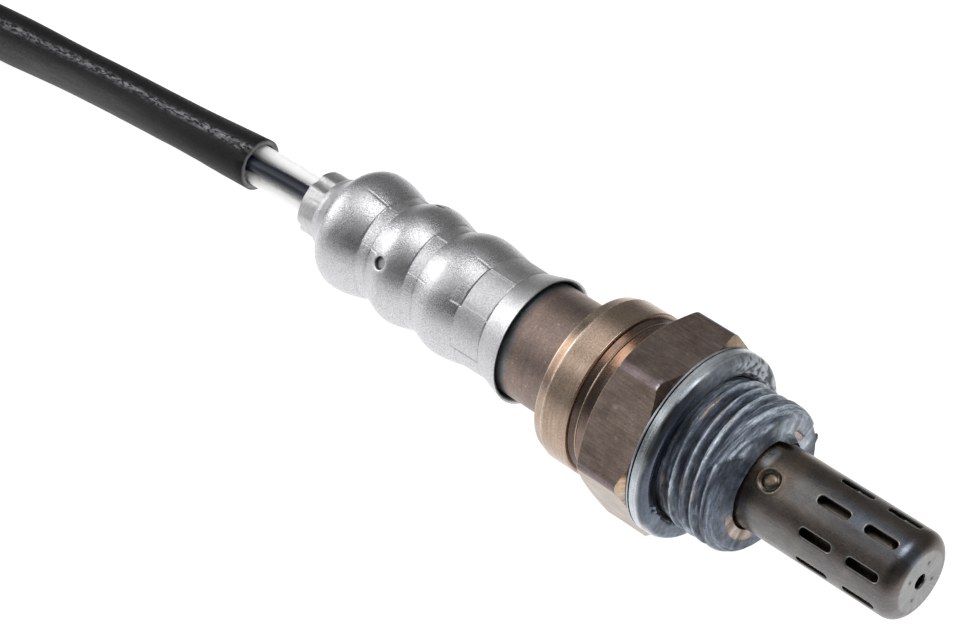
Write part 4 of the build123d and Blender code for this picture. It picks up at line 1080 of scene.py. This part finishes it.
for row_s in (30.55, 36.8):
    for k in range(8):
        vb = turn(22.8 + 45 * k, 0)
        i0 = int(np.argmin(np.abs(ss - (row_s - 2.52))))
        i1 = int(np.argmin(np.abs(ss - (row_s + 2.52))))
        j0 = int(np.argmin(np.abs(sb - (vb - 9.0))))
        j1 = int(np.argmin(np.abs(sb - (vb + 9.0))))
        oi = lambda i: n_base + i
        ii = lambda i: first_in + (n_ss - 1 - i)
        skip[oi(i0):oi(i1), j0:j1] = True
        skip[ii(i1):ii(i0), j0:j1] = True
        per = perimeter(i0, i1, j0, j1)
        o_ring = [int(ids[oi(i), j]) for i, j in per]
        n_ring = [int(ids[ii(i), j]) for i, j in per]
        ps = np.array([ss[i] for i, j in per]) - row_s
        pb = (np.array([sb[j] for i, j in per]) - vb) * math.radians(1) * 5.25
        last = o_ring
        # slot edges: a painted highlight on the rim (130) and painted shade darkening down the wall (78, 56)
        for out, r_ring, cc in ((0.16, 5.25, 106), (0.07, 5.235, 130), (0.0, 5.17, 108), (0.0, 5.0, 78), (0.01, 4.86, 56)):
            es, eb = rounded(ps, pb, 2.1, 0.55, 0.5, out)
            ring = shield.add(on_sensor(row_s + es, r_ring, vb + np.degrees(eb / 5.25)),
                              srgb(cc, cc - 1, cc - 3), 0.33, 1.0)
            shield.bridge(last, ring)
            last = ring
        shield.bridge(last, n_ring)
shield.quads(ids, wrap_rows=True, skip=skip)
shield_mat = finish_material("shield_steel", fine=5.0, fine_amount=0.22, bump=0.000008, stretch=(0.7, 1.3, 1.3), coarse=0.9,
                             lines=(0.5, 2.4, 0.12, 0.000008))
shield.build(shield_mat, replaces=("outer_shield",), sharp=46, radius=5.25)

# ---------------------------------------------------------------- CAD nodes that stay showing
node_mats = {
    "inner_shield": plain_material("inner_shield_steel", srgb(118, 108, 100), 0.4, 1.0, fine=5.0, amount=0.12),
    "packing_ring": plain_material("packing_steel", srgb(170, 168, 166), 0.35, 1.0, fine=5.0, amount=0.1),
    "wire_grommet": plain_material("grommet_grey", srgb(58, 56, 55), 0.6, fine=3.0, amount=0.12, bump=0.00003),
    "sensing_element": plain_material("zirconia_white", srgb(232, 230, 222), 0.5, fine=4.0, amount=0.04),
    "talc_seal": plain_material("talc_powder", srgb(214, 212, 206), 0.85, fine=7.0, amount=0.1, bump=0.00004),
    "holder_clip": plain_material("clip_spring_steel", srgb(190, 188, 184), 0.3, 1.0, fine=5.0, amount=0.08),
    "cable_tie": plain_material("tie_nylon", srgb(22, 22, 23), 0.42, fine=2.2, amount=0.12, bump=0.00002, sensor=False),
    "connector_boot": plain_material("boot_rubber", srgb(34, 34, 35), 0.6, fine=3.0, amount=0.15, bump=0.00004, sensor=False),
    "connector_housing": plain_material("housing_nylon", srgb(27, 27, 28), 0.45, fine=2.6, amount=0.12, bump=0.00004, sensor=False),
    "connector_seal": plain_material("seal_silicone", srgb(206, 96, 44), 0.42, fine=2.2, amount=0.06, sensor=False),
    "connector_lock": plain_material("lock_nylon", srgb(128, 130, 132), 0.45, fine=2.6, amount=0.06, sensor=False),
    "connector_terminals": plain_material("tinned_brass", srgb(206, 200, 186), 0.28, 1.0, fine=5.0, amount=0.08, sensor=False),
}
ceramic = plain_material("steatite", srgb(226, 221, 208), 0.55, fine=4.0, amount=0.05, bump=0.00002, dark=tuple(srgb(196, 186, 168)), spots=0.4)
contact = plain_material("contact_nickel", srgb(204, 200, 190), 0.28, 1.0, fine=5.0, amount=0.08)
for label in ("front_insulator", "rear_insulator", "contact_holder_upper", "contact_holder_lower"):
    node_mats[label] = ceramic
for label in ("heater_contact_upper", "heater_contact_lower", "signal_contact", "ground_contact"):
    node_mats[label] = contact
for label, mat in node_mats.items():
    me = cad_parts[label].data
    if not me.materials:
        me.materials.append(mat)
    for i in range(len(me.materials)):
        me.materials[i] = mat

# --------------------------------------------------------------------- surroundings and light
world = bpy.data.worlds.new("studio")
scene.world = world
world.use_nodes = True
wn = world.node_tree
wn.nodes.clear()


def w_new(kind, **props):
    x = wn.nodes.new(kind)
    for key, value in props.items():
        setattr(x, key, value)
    return x


def w_math(op, a, b=None, clamp=False):
    x = w_new("ShaderNodeMath", operation=op, use_clamp=clamp)
    for i, val in enumerate((a, b)):
        if val is None:
            continue
        if hasattr(val, "is_output"):
            wn.links.new(val, x.inputs[i])
        else:
            x.inputs[i].default_value = val
    return x.outputs[0]


coords = w_new("ShaderNodeTexCoord")
sep = w_new("ShaderNodeSeparateXYZ")
wn.links.new(coords.outputs["Generated"], sep.inputs[0])
el = w_math("MULTIPLY", w_math("ARCSINE", sep.outputs[2]), 57.29578)
az = w_math("MULTIPLY", w_math("ARCTAN2", sep.outputs[1], sep.outputs[0]), 57.29578)


def ease(value, lo, hi):
    x = w_new("ShaderNodeMapRange", interpolation_type="SMOOTHSTEP", clamp=True)
    wn.links.new(value, x.inputs[0])
    x.inputs[1].default_value = lo
    x.inputs[2].default_value = hi
    return x.outputs[0]


def panel(az0, half, el_lo, el_hi, soft_az, soft_el):
    """A soft-edged light panel in the surroundings, 0 to 1."""
    d = w_math("ABSOLUTE", w_math("WRAP", w_math("SUBTRACT", az, az0), 180.0))
    d.node.inputs[2].default_value = -180.0 if d.node.operation == "WRAP" else 0.0
    for nd in [l.from_node for l in wn.links if l.to_node == d.node]:
        if nd.operation == "WRAP":
            nd.inputs[2].default_value = -180.0
    side = ease(d, half + soft_az, half)
    return w_math("MULTIPLY", side, w_math("MULTIPLY", ease(el, el_lo - soft_el, el_lo), ease(el, el_hi + soft_el, el_hi)))


LIGHTS = [
    # azimuth, half width, lowest, highest, soft azimuth, soft elevation, radiance
    (0.0, 181.0, 80.0, 91.0, 1.0, 13.0, 3.3),
    (-156.0, 14.0, 5.0, 34.0, 24.0, 12.0, 1.40),
    (-164.0, 8.0, 17.0, 33.0, 9.0, 6.0, 2.2),
    (-155.0, 28.0, 38.0, 76.0, 42.0, 14.0, 0.52),
    (-170.0, 22.0, -14.0, 8.0, 20.0, 10.0, 0.45),
    (-84.0, 16.0, -5.0, 42.0, 28.0, 14.0, -0.10),
]
total = None
for a0, half, lo, hi, sa, se, power in LIGHTS:
    x = w_math("MULTIPLY", panel(a0, half, lo, hi, sa, se), power)
    total = x if total is None else w_math("ADD", total, x)
total = w_math("ADD", total, 0.21)
path_w = w_new("ShaderNodeLightPath")
seen = w_new("ShaderNodeMix", data_type="FLOAT")
wn.links.new(path_w.outputs["Is Camera Ray"], seen.inputs["Factor"])
wn.links.new(total, seen.inputs["A"])
seen.inputs["B"].default_value = 1.0
back = w_new("ShaderNodeBackground")
back.inputs["Color"].default_value = (1.0, 1.0, 1.0, 1.0)
soft = w_math("ADD", seen.outputs["Result"], w_math("MULTIPLY", path_w.outputs["Is Diffuse Ray"], 0.42))
wn.links.new(soft, back.inputs["Strength"])
w_out = w_new("ShaderNodeOutputWorld")
wn.links.new(back.outputs[0], w_out.inputs[0])

floor_me = bpy.data.meshes.new("floor")
floor_me.from_pydata([(-4, -4, 0), (4, -4, 0), (4, 4, 0), (-4, 4, 0)], [], [(0, 1, 2, 3)])
floor = bpy.data.objects.new("floor", floor_me)
floor.location = (0, 0, -0.00003)
scene.collection.objects.link(floor)
n = Nodes("floor_pale")
n.t.nodes.remove(n.bsdf)
tc = n.new("ShaderNodeTexCoord")
sepf = n.new("ShaderNodeSeparateXYZ")
n.link(tc.outputs["Object"], sepf.inputs[0])
ax_ = n.math("SUBTRACT", n.math("ABSOLUTE", n.math("ADD", sepf.outputs[0], 0.0)), 0.03)
ax_ = n.math("MAXIMUM", ax_, 0.0)
rad = n.math("SQRT", n.math("ADD", n.math("MULTIPLY", ax_, ax_), n.math("MULTIPLY", sepf.outputs[1], sepf.outputs[1])))
glow = n.math("MULTIPLY", n.spread(rad, 0.040, 0.105, 1.06, 0.30), n.spread(sepf.outputs[1], -0.045, -0.005, 0.54, 1.0))
lp = n.new("ShaderNodeLightPath")
fmix = n.new("ShaderNodeMix", data_type="FLOAT")
n.link(lp.outputs["Is Camera Ray"], fmix.inputs["Factor"])
n.link(glow, fmix.inputs["A"])
fmix.inputs["B"].default_value = 0.97
em = n.new("ShaderNodeEmission")
em.inputs["Color"].default_value = (1, 1, 1, 1)
f_soft = n.math("MULTIPLY", lp.outputs["Is Diffuse Ray"], n.math("SUBTRACT", 1.15, fmix.outputs["Result"]))
n.link(n.math("ADD", fmix.outputs["Result"], f_soft), em.inputs["Strength"])
df = n.new("ShaderNodeBsdfDiffuse")
df.inputs["Color"].default_value = (0.22, 0.22, 0.22, 1)
add = n.new("ShaderNodeAddShader")
n.link(em.outputs[0], add.inputs[0])
n.link(df.outputs[0], add.inputs[1])
n.link(add.outputs[0], n.out.inputs[0])
floor_me.materials.append(n.mat)
